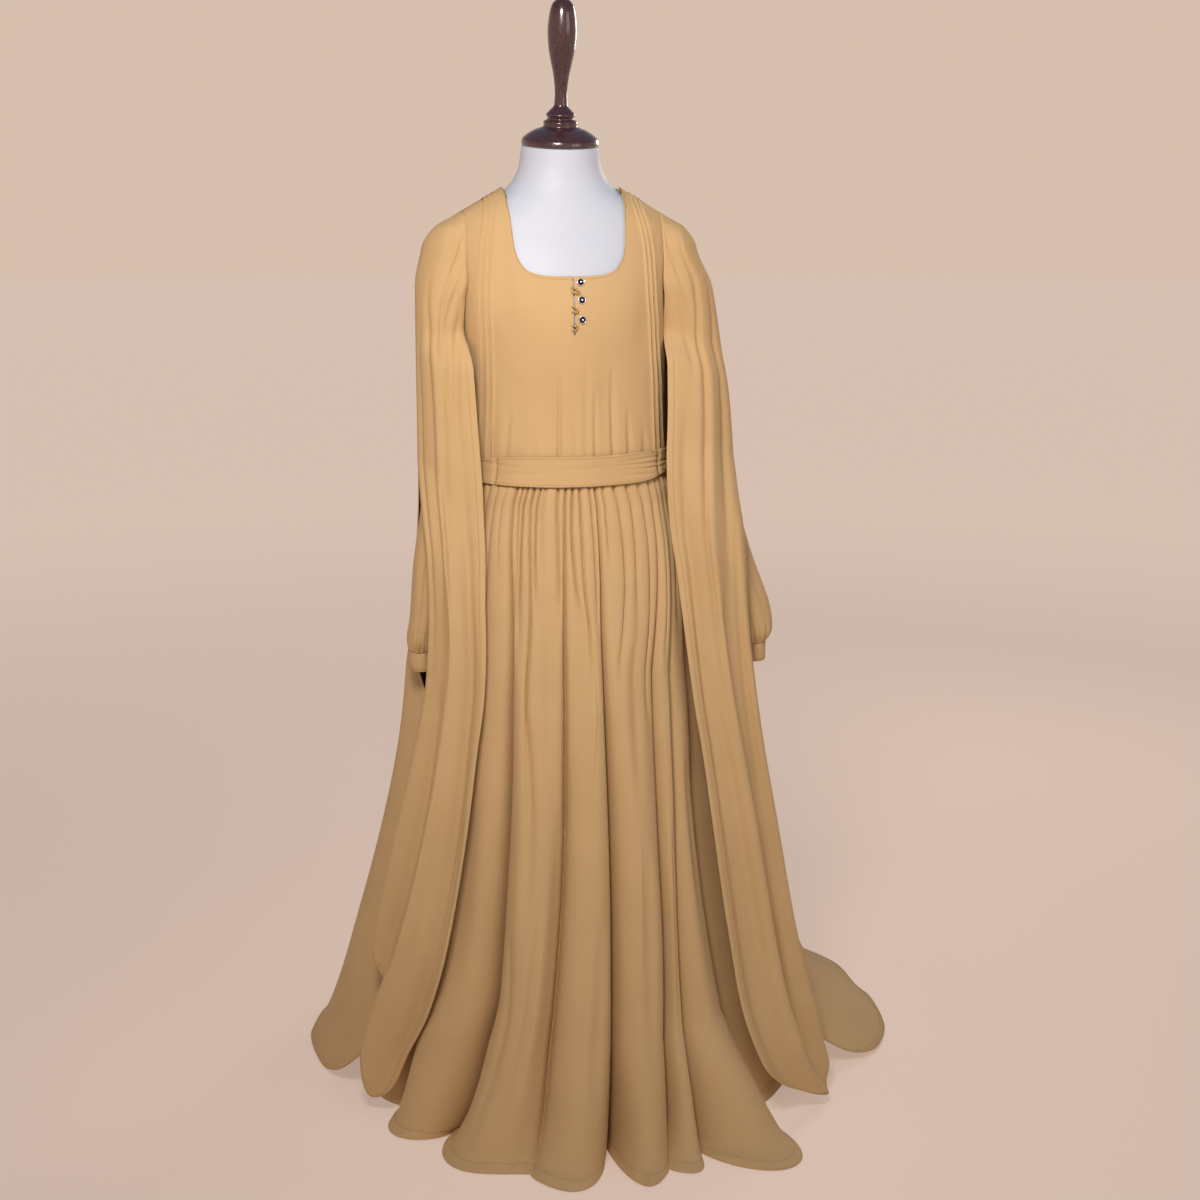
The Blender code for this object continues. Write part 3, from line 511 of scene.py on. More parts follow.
def form_shell():
    """Glass fibre painted satin white: smooth, with a faint orange peel from the spray."""
    made, tree, shader = new_material("painted glass fibre", "BCC2CB", Roughness=0.5)
    shader.inputs["Specular IOR Level"].default_value = 0.4
    place = add_node(tree, "ShaderNodeTexCoord")
    peel = noise(tree, place.outputs["Object"], 420.0, 1.0)
    wear = noise(tree, place.outputs["Object"], 14.0, 4.0)
    rough = add_node(tree, "ShaderNodeMapRange", {"To Min": 0.42, "To Max": 0.6}, {"Value": wear})
    tree.links.new(rough.outputs[0], shader.inputs["Roughness"])
    bumped(tree, shader, peel, 0.12, 0.0003)
    return made


def varnished_wood():
    """Turned beech, stained dark and varnished: close grain along the turning, and a wet gloss."""
    made, tree, shader = new_material("varnished dark beech", "3A2224", Roughness=0.22)
    shader.inputs["Coat Weight"].default_value = 0.7
    shader.inputs["Coat Roughness"].default_value = 0.08
    place = add_node(tree, "ShaderNodeTexCoord")
    # Grain lines about 1.5 mm wide, drawn out eight times along the axis.
    grain_place = add_node(
        tree, "ShaderNodeMapping", {"Scale": (640.0, 640.0, 80.0)}, {"Vector": place.outputs["Object"]}
    )
    grain = noise(tree, grain_place.outputs[0], 1.0, 3.0)
    stain = add_node(tree, "ShaderNodeValToRGB", {}, {"Fac": grain})
    stain.color_ramp.elements[0].position = 0.35
    stain.color_ramp.elements[0].color = linear("2B1719")
    stain.color_ramp.elements[1].position = 0.7
    stain.color_ramp.elements[1].color = linear("4E3032")
    tree.links.new(stain.outputs["Color"], shader.inputs["Base Color"])
    bumped(tree, shader, grain, 0.1, 0.0002)
    return made


def stand_paint():
    """Steel with black powder coat: an even satin with a fine grit."""
    made, tree, shader = new_material("powder-coated steel", "1E1D1D", Roughness=0.5)
    place = add_node(tree, "ShaderNodeTexCoord")
    bumped(tree, shader, noise(tree, place.outputs["Object"], 900.0, 2.0), 0.25, 0.0002)
    return made


def button_metal(name, colour, roughness):
    """Plated cast zinc: the rim polished bright, the boss at the centre bright as a painted highlight on
    the dome, the ring between them left dark.
    """
    made, tree, shader = new_material(name, colour, Roughness=roughness, Metallic=1.0)
    place = add_node(tree, "ShaderNodeTexCoord")
    marks = noise(tree, place.outputs["Object"], 1500.0, 2.0)
    rough = add_node(
        tree,
        "ShaderNodeMapRange",
        {"To Min": roughness - 0.08, "To Max": roughness + 0.1},
        {"Value": marks},
    )
    tree.links.new(rough.outputs[0], shader.inputs["Roughness"])
    return made


CREPE = crepe("matte mustard crepe", "C3A374", "B59566")
THREAD = crepe("mustard sewing thread", "93753F", "866A38")
# The rouleau is the dress's own crepe; its darker colour is painted shade for the shadow that outlines the
# loops.
ROULEAU_PAINTED_SHADE = crepe("crepe rouleau darkened as painted shade", "AD8C58", "9A7A49")
FORM_SHELL = form_shell()
DARK_WOOD = varnished_wood()
STAND_PAINT = stand_paint()
RIM_AND_PAINTED_HIGHLIGHT = button_metal("polished zinc rim and painted highlight", "F4F4F6", 0.25)
DARK_DOME = button_metal("dark plated zinc", "3A3238", 0.30)
STITCHES = stitch_tree()


def settle(piece, node):
    """The piece stands for its CAD node: the node is hidden and the piece hangs from the root."""
    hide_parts(node)
    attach(piece, "root")


def cloth(piece, node):
    """A cloth panel stands for its node."""
    settle(piece, node)


# The form, its neck cap, pole and base

NECK_CAP_PROFILE = table(
    "down radius",
    (0.000, 0.0000),
    (0.003, 0.0095),
    (0.010, 0.0160),
    (0.022, 0.0196),
    (0.048, 0.0222),
    (0.072, 0.0205),
    (0.095, 0.0160),
    (0.115, 0.0118),
    (0.140, 0.0095),
    (0.156, 0.0105),
    (0.165, 0.0180),
    (0.170, 0.0225),
    (0.176, 0.0200),
    (0.181, 0.0262),
    (0.187, 0.0262),
    (0.193, 0.0400),
    (0.201, 0.0530),
    (0.207, 0.0590),
    (0.213, 0.0600),
    (0.216, 0.0570),
)


def dress_form():
    around = 96
    heights = np.concatenate([np.linspace(NECK_TOP_Z, 1.34, 70), np.linspace(1.335, TORSO_BOTTOM_Z, 70)])
    z = heights[:, None]
    bearing = np.linspace(0, math.tau, around, endpoint=False)[None, :]
    angle = np.arcsin(np.clip(np.sin(bearing), -1, 1))
    inset = -0.0008 * ease_in(z, 1.18, 1.26)
    front = body_point(angle, z + 0 * angle, inset, False, is_angle=True)
    behind = body_point(angle, z + 0 * angle, inset, True, is_angle=True)
    grid = np.where((np.cos(bearing) < 0)[..., None] & np.ones(front.shape, bool), behind, front)
    grid[..., 2] += grid[..., 1] * math.tan(CAP_LEAN) * ease_in(z, 1.44, 1.50)
    middle_top = grid[:1].mean(axis=1, keepdims=True) + 0 * grid[:1]
    middle_foot = grid[-1:].mean(axis=1, keepdims=True) + 0 * grid[-1:]
    rounded = mix(grid[-1:], middle_foot, 0.04)
    top_point = middle_top * 0.999 + grid[:1] * 0.001
    foot_point = middle_foot * 0.999 + grid[-1:] * 0.001
    grid = np.concatenate([top_point, grid, rounded, foot_point])
    torso = sheet_object("dress_form_torso", grid, FORM_SHELL, closed=True, wall=0)
    settle(torso, "form_torso")

    stretches = [np.linspace(0, 0.003, 6)[:-1], np.linspace(0.003, 0.150, 50)[:-1]]
    down = np.concatenate(stretches + [np.linspace(0.150, CAP_HEIGHT, 80)])
    radius = read(NECK_CAP_PROFILE, "radius", down)
    radius[:6] = 0.0095 * np.sqrt(down[:6] / 0.003)
    profile = [(max(r, TIP), -d) for d, r in zip(down, radius)] + [(TIP, -CAP_HEIGHT)]
    lean = Matrix.Rotation(CAP_LEAN, 4, "X")
    place = Matrix.Translation((0, 0, NECK_TOP_Z)) @ lean @ Matrix.Translation((0, 0, CAP_HEIGHT + GAP))
    cap = turned_object("turned_neck_cap", profile, 72, [DARK_WOOD], place)
    settle(cap, "form_neck_cap")

    base = [(TIP, BASE_HEIGHT), (0.045, BASE_HEIGHT), (0.052, 0.0265), (0.060, 0.024), (0.140, 0.016)]
    base += [(0.156, 0.0135), (0.163, 0.009), (BASE_RADIUS, 0.006), (BASE_RADIUS, 0.0), (TIP, 0.0)]
    settle(turned_object("round_base", base, 96, [STAND_PAINT]), "stand_base")
    top, foot = TORSO_BOTTOM_Z - POLE_GAP, BASE_HEIGHT + POLE_GAP
    pole = [(TIP, top), (POLE_RADIUS, top), (POLE_RADIUS, 0.12), (POLE_RADIUS + 0.003, 0.119)]
    pole += [(POLE_RADIUS + 0.003, foot), (TIP, foot)]
    settle(turned_object("steel_pole", pole, 40, [STAND_PAINT]), "stand_pole")


# The bodice

NECK_COLUMNS = table(
    "x_chest x_top z_top",
    (0.003, 0.003, 1.3080),
    (0.022, 0.022, 1.3080),
    (0.042, 0.044, 1.3095),
    (0.060, 0.066, 1.3165),
    (0.073, 0.079, 1.3330),
    (0.082, 0.0850, 1.3550),
    (0.087, 0.0870, 1.3800),
    (0.091, 0.0882, 1.4000),
    (0.095, 0.0893, 1.4150),
    (0.098, 0.0902, 1.4260),
    (0.101, 0.0910, 1.4345),
)
PINTUCKS = (0.119, 0.127, 0.135)
PINTUCK_HEIGHT = 0.0026
GRAIN = table(
    "z spread",
    (1.000, 0.840),
    (1.100, 0.900),
    (1.200, 0.970),
    (1.270, 1.000),
    (1.350, 0.975),
    (1.417, 0.875),
)
LAST_GRAIN_X = 0.140
# The shoulder seam stands up to the level of the cape that is sewn into it.
SEAM_LIFT = 0.0030
SIDE_X_CHEST = 0.163

# The gathers above the belt and the long soft folds of the bodice, across in metres at the chest.
BODICE_CREASES = table(
    "start high bend end low half deep",
    (-0.118, 1.110, 0.0, -0.121, 0.985, 0.0030, 0.0024),
    (-0.097, 1.130, 0.0, -0.104, 0.985, 0.0040, 0.0033),
    (-0.060, 1.120, 0.0, -0.064, 0.985, 0.0045, 0.0024),
    (-0.034, 1.170, 0.0, -0.038, 0.985, 0.0050, 0.0019),
    (-0.023, 1.165, 0.001, -0.025, 0.960, 0.0030, 0.0051),
    (0.003, 1.120, 0.0, 0.002, 0.985, 0.0045, 0.0021),
    (0.018, 1.200, 0.001, 0.019, 0.985, 0.0060, 0.0021),
    (0.034, 1.140, 0.0, 0.036, 0.985, 0.0035, 0.0033),
    (0.060, 1.175, 0.001, 0.064, 0.960, 0.0035, 0.0048),
    (0.083, 1.110, 0.0, 0.087, 0.970, 0.0032, 0.0042),
    (0.104, 1.080, 0.0, 0.108, 0.985, 0.0035, 0.0033),
    (-0.048, 1.200, 0.004, -0.050, 1.000, 0.0140, 0.0024),
    (0.048, 1.210, 0.0, 0.050, 1.000, 0.0150, 0.0023),
    (-0.085, 1.160, 0.0, -0.083, 1.000, 0.0120, 0.0023),
    (0.110, 1.330, 0.006, 0.100, 1.180, 0.0130, 0.0015),
    (-0.104, 1.370, -0.004, -0.092, 1.220, 0.0120, 0.0015),
)
BACK_BODICE_CREASES = table(
    "start high bend end low half deep",
    (-60, 1.120, 0.0, -62, 0.985, 2.4, 0.0030),
    (-38, 1.140, 0.0, -39, 0.985, 2.8, 0.0033),
    (-15, 1.130, 0.0, -14, 0.985, 2.6, 0.0027),
    (6, 1.150, 0.0, 7, 0.985, 2.8, 0.0033),
    (29, 1.120, 0.0, 30, 0.985, 2.5, 0.0030),
    (52, 1.140, 0.0, 55, 0.985, 2.8, 0.0033),
)


# Half the slit's width: nearly shut at the top, a little open at its foot.
SLIT_CLOSE = table(
    "z half",
    (SLIT_END_Z - 0.030, SLIT_HALF),
    (SLIT_END_Z, 0.0012),
    (1.234, 0.0017),
    (1.250, 0.0011),
    (1.300, 0.0008),
)


def side_x(z):
    """The side seam, then the armhole's edge, up to the shoulder's end."""
    up = np.clip((z - UNDERARM_Z) / (SHOULDER_END_Z - UNDERARM_Z), 0.0, 1.0)
    cut = 0.10 * np.abs(np.sin(math.pi * up)) ** 0.6
    return read(BODY, "half_width", np.minimum(z, SHOULDER_END_Z)) * (1 - cut)


def front_x(x_chest, z):
    """Where a column of the front lies at this height."""
    grain = read(GRAIN, "spread", z)
    share = np.clip((x_chest - LAST_GRAIN_X) / (SIDE_X_CHEST - LAST_GRAIN_X), 0, 1)
    side = mix(LAST_GRAIN_X * grain, side_x(z), share)
    x_top = np.interp(x_chest, NECK_COLUMNS["x_chest"], NECK_COLUMNS["x_top"])
    z_top = np.interp(x_chest, NECK_COLUMNS["x_chest"], NECK_COLUMNS["z_top"])
    inner = mix(x_chest * grain, x_top, ease_in(z, 1.18, z_top))
    straight = np.where(x_chest > NECK_COLUMNS["x_chest"][-1], x_chest * grain, inner)
    return np.where(x_chest > LAST_GRAIN_X, side, straight)


def column_top(x_chest):
    low, high = np.full(x_chest.shape, SHOULDER_END_Z), np.full(x_chest.shape, 1.46)
    for _ in range(30):
        middle = (low + high) / 2
        wider = read(BODY, "half_width", middle) > front_x(x_chest, middle)
        low, high = np.where(wider, middle, low), np.where(wider, high, middle)
    at_neck = read(NECK_COLUMNS, "z_top", x_chest)
    tops = np.where(x_chest <= NECK_COLUMNS["x_chest"][-1], at_neck, low)
    return np.where(x_chest >= SIDE_X_CHEST, SHOULDER_END_Z, tops)


def pintucks(x_chest):
    """Three narrow tucks each side, folded towards the arm: a slow rise and a sharp edge."""
    height = np.zeros(x_chest.shape)
    for tuck in PINTUCKS:
        across = x_chest - tuck
        rise = np.clip((across + 0.0034) / 0.0034, 0, 1) ** 1.3
        height = np.maximum(height, np.where(across <= 0, rise, np.clip(1 - across / 0.0007, 0, 1)))
        height -= 0.9 * bell(across - 0.0013, 0.0006)
    return PINTUCK_HEIGHT * height


def bodice():
    half = [0.003, 0.0042, 0.0052]
    half += list(np.linspace(0.007, 0.113, 58))
    for tuck in PINTUCKS:
        half += [tuck - 0.0036, tuck - 0.0026, tuck - 0.0016, tuck - 0.0008, tuck]
        half += [tuck + 0.0004, tuck + 0.0008, tuck + 0.0013, tuck + 0.0018, tuck + 0.0026]
    half += list(np.linspace(0.1395, SIDE_X_CHEST, 22))
    half = np.array(sorted(half))
    signed = np.concatenate([-half[::-1], half])[None, :]
    x_chest = np.abs(signed)
    tops = column_top(x_chest)
    share = 1 - np.linspace(0, 1, 92)[:, None] ** 1.5
    z = mix(WAIST_SEAM, tops, share)
    x = np.copysign(front_x(x_chest + 0 * z, z), signed + 0 * z)
    off = dress_off(z) + pintucks(x_chest) * (1 - ease_in(z, 1.40, 1.425) * 0.4)
    on_shoulder = ease_in(x_chest, 0.088, 0.100) * (1 - ease_in(np.abs(x), 0.1480, 0.1520))
    off = off + SEAM_LIFT * ease_in(z, tops - 0.014, tops) * on_shoulder
    grid = body_point(x, z, off)
    edge = bell(tops - z, 0.0016) * (x_chest < NECKLINE_REACH)
    grid = push(grid, creased(BODICE_CREASES, signed, z) + 0.0004 * edge)
    grid[..., 1] -= SEAM_SHIFT
    slack = np.interp(z, SLIT_CLOSE["z"], SLIT_CLOSE["half"])
    beside = np.clip(1 - (x_chest - SLIT_HALF) / 0.006, 0, 1)
    grid[..., 0] -= np.sign(signed) * (SLIT_HALF - slack) * beside
    rows, across = z.shape
    middle = across // 2 - 1
    slit = np.zeros((rows - 1, across - 1), bool)
    slit[:, middle] = z[1:, middle] > SLIT_END_Z
    front = sheet_object("bodice_front_panel", pulled(grid), CREPE, left_out=slit)
    at_neck = np.abs(signed[0]) < NECKLINE_REACH
    neckline = inside_line(grid[:40, at_neck], 0.0042, STITCH_LIFT)
    half_way = len(neckline) // 2
    stitches = sewn("neckline_stitches", [neckline[:half_way], neckline[half_way:]])
    cloth(front, "bodice_front")

    angle = np.radians(np.linspace(-90, 90, 120))[None, :]
    x_top = side_x(SHOULDER_END_Z) * np.sin(angle)
    nape = 1.435 - 0.010 * (1 - (x_top / SHOULDER_NECK_X) ** 2)
    tops = np.where(np.abs(x_top) < SHOULDER_NECK_X, nape, shoulder_z(np.abs(x_top)))
    z = mix(WAIST_SEAM, tops, share)
    grid = body_point(side_x(z) * np.sin(angle), z, dress_off(z), back=True)
    grid = push(grid, creased(BACK_BODICE_CREASES, np.degrees(angle), z), turned=True)
    grid[..., 1] += SEAM_SHIFT
    back = sheet_object("bodice_back_panel", pulled(grid), CREPE, turned=True)
    cloth(back, "bodice_back")


# The skirt

SKIRT_SECTION = table(
    "z side front back",
    (0.000, 0.350, 0.400, 0.420),
    (0.080, 0.325, 0.375, 0.385),
    (0.200, 0.288, 0.335, 0.335),
    (0.400, 0.243, 0.280, 0.275),
    (0.600, 0.213, 0.226, 0.225),
    (0.800, 0.188, 0.172, 0.178),
    (0.900, 0.173, 0.142, 0.152),
    (0.960, 0.158, 0.124, 0.126),
    (1.002, 0.1505, 0.1155, 0.1140),
)
FOLD_DEPTH = table(
    "z depth",
    (0.000, 0.085),
    (0.100, 0.078),
    (0.250, 0.062),
    (0.450, 0.044),
    (0.650, 0.026),
    (0.800, 0.012),
    (0.900, 0.004),
    (0.980, 0.000),
)
FRONT_VALLEYS = table(
    "pleat z97 z75 z50 z25 z0 deep reach lobe",
    (0, -90.0, -90, -90, -90, -90, 0.3, 0.325, 0.335),
    (4, -66.5, -62, -60, -60, -63, 0.8, 0.310, 0.385),
    (8, -44.0, -33, -31, -30, -42, 1.0, 0.325, 0.420),
    (15, -13.0, -10, -9, -12, -17, 0.6, 0.405, 0.455),
    (19, 13.5, 10, 8, 5, 1, 1.0, 0.310, 0.460),
    (24, 47.0, 37, 29, 22, 12, 0.7, 0.420, 0.450),
    (26, 58.7, 50, 37, 27, 21, 0.7, 0.385, 0.520),
    (29, 82.2, 66, 51, 45, 43, 0.9, 0.360, 0.380),
    (30, 90.0, 90, 90, 90, 90, 0.3, 0.360, 0.360),
)
BACK_VALLEYS = table(
    "pleat z97 z75 z50 z25 z0 deep reach lobe",
    (0, 90.0, 90, 90, 90, 90, 0.3, 0.360, 0.400),
    (4, 113.5, 111, 108, 110, 108, 0.8, 0.350, 0.430),
    (8, 137.0, 134, 133, 130, 134, 0.9, 0.360, 0.450),
    (12, 160.4, 160, 158, 155, 153, 0.8, 0.370, 0.470),
    (16, 183.9, 182, 184, 186, 183, 1.0, 0.360, 0.460),
    (20, 207.4, 207, 210, 209, 212, 0.7, 0.370, 0.450),
    (24, 230.9, 232, 234, 236, 233, 0.9, 0.340, 0.370),
    (27, 254.3, 254, 256, 254, 255, 0.6, 0.325, 0.335),
    (30, 270.0, 270, 270, 270, 270, 0.3, 0.325, 0.325),
)
VALLEY_HEIGHTS = (("z0", 0.0), ("z25", 0.25), ("z50", 0.50), ("z75", 0.75), ("z97", 0.97))

# Bearings of the front's pleat lines between the waist and the thigh, where they spread unevenly.
COURSE_HEIGHTS = (("z70", 0.70), ("z78", 0.78), ("z85", 0.85), ("z92", 0.92), ("z98", 0.98))
FRONT_COURSES = table(
    "pleat z98 z92 z85 z78 z70",
    (0, -90, -90, -90, -90, -90),
    (4, -69, -66, -64, -62, -61),
    (7, -52, -50, -46, -43, -41),
    (8, -45, -43, -39, -35.5, -33.5),
    (9, -40.7, -38, -35.4, -33.6, -31.6),
    (10, -37.4, -35.6, -33.2, -31.6, -29.4),
    (11, -32.5, -30.3, -27.3, -25.6, -25.4),
    (12, -27.6, -26.6, -24.6, -22.2, -20.6),
    (13, -24.0, -22.6, -20.8, -18.2, -16.2),
    (14, -13.6, -12.5, -11.6, -11.2, -11.4),
    (15, -7.3, -7.7, -8.2, -8.5, -8.6),
    (16, -1.5, -3.0, -2.0, 0.3, 1.2),
    (17, 4.6, 3.8, 3.0, 3.9, 4.6),
    (18, 12.8, 11.7, 10.0, 8.4, 7.2),
    (19, 18.1, 16.2, 13.8, 11.4, 9.7),
    (20, 24.3, 21.5, 18.9, 15.5, 13.0),
    (21, 33.0, 30.7, 27.0, 21.7, 16.6),
    (22, 41.9, 38.3, 33.7, 29.4, 23.3),
    (23, 49.7, 46.8, 42.4, 37.4, 31.0),
    (24, 57.6, 54.0, 49.6, 44.0, 37.4),
    (25, 62.8, 59.6, 55.2, 49.6, 42.4),
    (26, 68.0, 65.0, 60.6, 55.2, 48.6),
    (27, 73.4, 70.6, 66.4, 61.4, 55.0),
    (28, 78.6, 76.2, 72.4, 68.0, 62.0),
    (29, 84.4, 82.4, 79.2, 75.4, 70.0),
    (30, 90, 90, 90, 90, 90),
)

# Where each pressed pleat line ends on its way down, its depth, its half width and how far it trails.
FRONT_LINES = table(
    "line ends deep half trail",
    (1, 0.74, 0.0050, 0.0018, 0.10),
    (2, 0.80, 0.0045, 0.0018, 0.08),
    (3, 0.77, 0.0050, 0.0018, 0.10),
    (4, 0.66, 0.0050, 0.0020, 0.16),
    (5, 0.84, 0.0022, 0.0020, 0.07),
    (6, 0.80, 0.0018, 0.0020, 0.08),
    (7, 0.86, 0.0016, 0.0020, 0.06),
    (8, 0.30, 0.0080, 0.0020, 0.20),
    (9, 0.865, 0.0055, 0.0015, 0.06),
    (10, 0.775, 0.0065, 0.0016, 0.07),
    (11, 0.600, 0.0070, 0.0018, 0.16),
    (12, 0.825, 0.0060, 0.0016, 0.05),
    (13, 0.850, 0.0035, 0.0034, 0.08),
    (14, 0.805, 0.0065, 0.0017, 0.05),
    (15, 0.560, 0.0065, 0.0018, 0.20),
    (16, 0.795, 0.0070, 0.0017, 0.05),
    (17, 0.735, 0.0065, 0.0017, 0.08),
    (18, 0.780, 0.0050, 0.0015, 0.05),
    (19, 0.300, 0.0080, 0.0019, 0.20),
    (20, 0.880, 0.0055, 0.0015, 0.04),
    (21, 0.720, 0.0065, 0.0017, 0.06),
    (22, 0.815, 0.0068, 0.0018, 0.18),
    (23, 0.655, 0.0068, 0.0017, 0.08),
    (24, 0.300, 0.0080, 0.0019, 0.20),
    (25, 0.725, 0.0055, 0.0015, 0.06),
    (26, 0.300, 0.0075, 0.0018, 0.20),
    (27, 0.780, 0.0050, 0.0016, 0.08),
    (28, 0.750, 0.0050, 0.0016, 0.10),
    (29, 0.620, 0.0060, 0.0018, 0.14),
)
BACK_LINES = table(
    "line ends deep half trail",
    *[
        (
            k,
            0.76 + 0.07 * math.sin(2.6 * k) - (0.16 if k % 4 == 0 else 0.0),
            0.0060 + 0.0012 * math.sin(1.7 * k),
            0.0017,
            0.08 + 0.04 * math.cos(1.9 * k),
        )
        for k in range(1, 30)
    ],
)

# The valleys between the big folds sharpen as they run down to the floor.
VALLEY_GROOVE = table(
    "z deep half",
    (0.000, 0.0140, 0.0060),
    (0.170, 0.0160, 0.0050),
    (0.400, 0.0130, 0.0038),
    (0.650, 0.0080, 0.0028),
    (0.800, 0.0030, 0.0022),
    (0.900, 0.0000, 0.0020),
)

# Soft troughs (or ridges, where deep is below zero) of the skirt, across in pleats.
SKIRT_CREASES = table(
    "start high bend end low half deep",
    (11.0, 0.66, 0.0, 11.4, 0.30, 0.70, 0.0070),
    (13.2, 0.84, 0.0, 13.0, 0.58, 0.50, 0.0035),
    (14.4, 0.52, 0.0, 14.2, 0.10, 0.60, 0.0100),
    (12.8, 0.40, -0.2, 12.6, 0.06, 0.45, 0.0060),
    (9.6, 0.34, 0.2, 10.4, 0.05, 0.40, 0.0060),
    (6.0, 0.60, 0.2, 6.3, 0.12, 0.50, 0.0060),
    (16.8, 0.62, 0.1, 16.7, 0.20, 0.70, 0.0050),
    (17.8, 0.36, 0.1, 17.4, 0.05, 0.40, 0.0060),
    (22.0, 0.76, 0.2, 21.2, 0.52, 0.45, 0.0060),
    (21.6, 0.46, -0.1, 21.8, 0.14, 0.60, 0.0080),
    (25.2, 0.50, 0.0, 25.0, 0.10, 0.35, 0.0060),
    (27.4, 0.62, 0.1, 27.8, 0.14, 0.50, 0.0080),
    (2.0, 0.55, 0.1, 2.2, 0.10, 0.50, 0.0060),
)
BACK_SKIRT_CREASES = table(
    "start high bend end low half deep",
    (2.2, 0.60, 0.1, 2.0, 0.12, 0.60, 0.0120),
    (6.1, 0.55, -0.1, 6.3, 0.08, 0.55, 0.0105),
    (10.0, 0.66, 0.1, 9.7, 0.20, 0.70, 0.0120),
    (14.2, 0.50, 0.0, 14.0, 0.10, 0.60, 0.0135),
    (17.8, 0.62, 0.2, 18.1, 0.16, 0.50, 0.0090),
    (21.9, 0.58, 0.0, 22.3, 0.08, 0.60, 0.0120),
    (25.6, 0.50, 0.0, 25.4, 0.12, 0.50, 0.0090),
)
FOOT = table(
    "share height",
    (0.00, 0.170),
    (0.30, 0.098),
    (0.60, 0.038),
    (0.84, 0.006),
    (1.00, 0.0),
)
FOOT_TOP_Z = 0.17
SKIRT_HEM = 0.018
# Enough rows of the grid to reach past the hem's stitches.
SKIRT_HEM_ROWS = 30
PLEAT_STEPS = (0, 0.06, 0.13, 0.23, 0.36, 0.50, 0.64, 0.77, 0.87, 0.94)


def skirt_grid(valleys, courses, lines, creases, back):
    bounds = valleys["pleat"]
    last = int(bounds[-1])
    pleat = np.array([k + step for k in range(last) for step in PLEAT_STEPS] + [last])[None, :]
    i = np.clip(np.searchsorted(bounds, pleat[0], side="right") - 1, 0, len(bounds) - 2)
    place = (pleat - bounds[i]) / (bounds[i + 1] - bounds[i])
    ridge = np.abs(np.sin(math.pi * place)) ** 0.7
    deep = mix(valleys["deep"][i], valleys["deep"][i + 1], place)
    reach = mix(valleys["reach"][i], valleys["reach"][i + 1], place)
    hem = mix(reach, valleys["lobe"][i], np.abs(np.sin(math.pi * place)) ** 0.6)
    depth_column = "back" if back else "front"
    nearest = np.clip(np.rint(pleat), 1, last - 1)
    line = {name: np.interp(nearest, lines["line"], lines[name]) for name in lines}
    to_valley = np.min(np.abs(pleat[0][None, :] - bounds[1:-1, None]), axis=0)[None, :]

    def bearings(z):
        """Each column's bearing at these heights."""
        whole = np.arange(last + 1)
        low = [(height, valleys, name) for name, height in VALLEY_HEIGHTS]
        if courses:
            low = low[:3] + [(height, courses, name) for name, height in COURSE_HEIGHTS]
        heights = np.array([height for height, _, _ in low])
        at = np.stack([np.interp(whole, source["pleat"], source[name]) for _, source, name in low])
        lines_at = np.stack([read({"z": heights, "at": at[:, k]}, "at", z[:, 0]) for k in whole], 1)
        return np.radians(np.stack([np.interp(pleat[0], whole, row) for row in lines_at]))

    def section(angle, z):
        side = read(SKIRT_SECTION, "side", z)
        depth = read(SKIRT_SECTION, depth_column, z)
        return 1 / np.hypot(np.sin(angle) / side, np.cos(angle) / depth)

    def radii(z):
        angle = bearings(z)
        plain = section(angle, z)
        pitch = np.maximum(np.gradient(angle, pleat[0], axis=1) * plain, 0.003)
        fold_width = (bounds[i + 1] - bounds[i]) * pitch
        depth = np.minimum(read(FOLD_DEPTH, "depth", z) * deep, 0.42 * fold_width)
        radius = plain + depth * (ridge - 0.62)
        away = np.abs(pleat - nearest) * pitch
        crisp = np.exp(-((away / (0.8 * line["half"])) ** 1.4))
        sharp = 0.7 * crisp + 0.3 * bell(away, 0.0055)
        soft = bell(away, 0.0075)
        fade = ease_in(z, line["ends"] - 0.02, line["ends"] + 0.07)
        faint = ease_in(z, line["ends"] - line["trail"], line["ends"] + 0.03) * (1 - fade)
        radius = radius - line["deep"] * (1.35 * sharp * fade + 0.6 * soft * faint)
        groove = np.exp(-((to_valley * pitch / read(VALLEY_GROOVE, "half", z)) ** 1.3))
        radius = radius - read(VALLEY_GROOVE, "deep", z) * groove
        return angle, radius + creased(creases, pleat, z)

    heights = [np.linspace(WAIST_SEAM - GAP, 0.90, 22)[:-1], np.linspace(0.90, 0.60, 42)[:-1]]
    z = np.concatenate(heights + [np.linspace(0.60, FOOT_TOP_Z, 34)])[:, None]
    angle, radius = radii(z)
    grid = points_of(radius * np.sin(angle), -radius * np.cos(angle), z)
    waist = body_ring(angle, z + 0 * angle, dress_off(np.maximum(z, 0.985)))
    inward = (radius - section(angle, z))[..., None] * points_of(np.sin(angle), -np.cos(angle), 0)
    grid = mix(grid, waist + inward, ease_in(z, 0.955, 0.985)[..., None])

    share = np.linspace(0, 1, 34)[1:, None]
    foot_angle = bearings(mix(FOOT_TOP_Z, 0.0, share))
    height = read(FOOT, "height", share) * (1 + 0.35 * (ridge - 0.6) * ease_in(share, 0.1, 0.5))
    ripple = 0.5 + 0.5 * np.sin(pleat * 2.3 + 3 * np.sin(pleat * 0.9))
    lift = HEM_RISE + 0.005 * ripple * ease_in(share, 0.70, 0.86) * (1 - ease_in(share, 0.90, 1.0))
    seam = 0.0009 * bell(share - 0.925, 0.008)
    far = mix(radius[-1:], hem, share)
    foot = points_of(far * np.sin(foot_angle), -far * np.cos(foot_angle), height + lift - seam)
    grid = np.concatenate([grid, foot])
    grid[:, 0] += points_of(np.cos(angle[0, 0]), np.sin(angle[0, 0]), 0) * GAP
    grid[:, -1] -= points_of(np.cos(angle[0, -1]), np.sin(angle[0, -1]), 0) * GAP
    return pulled(grid)


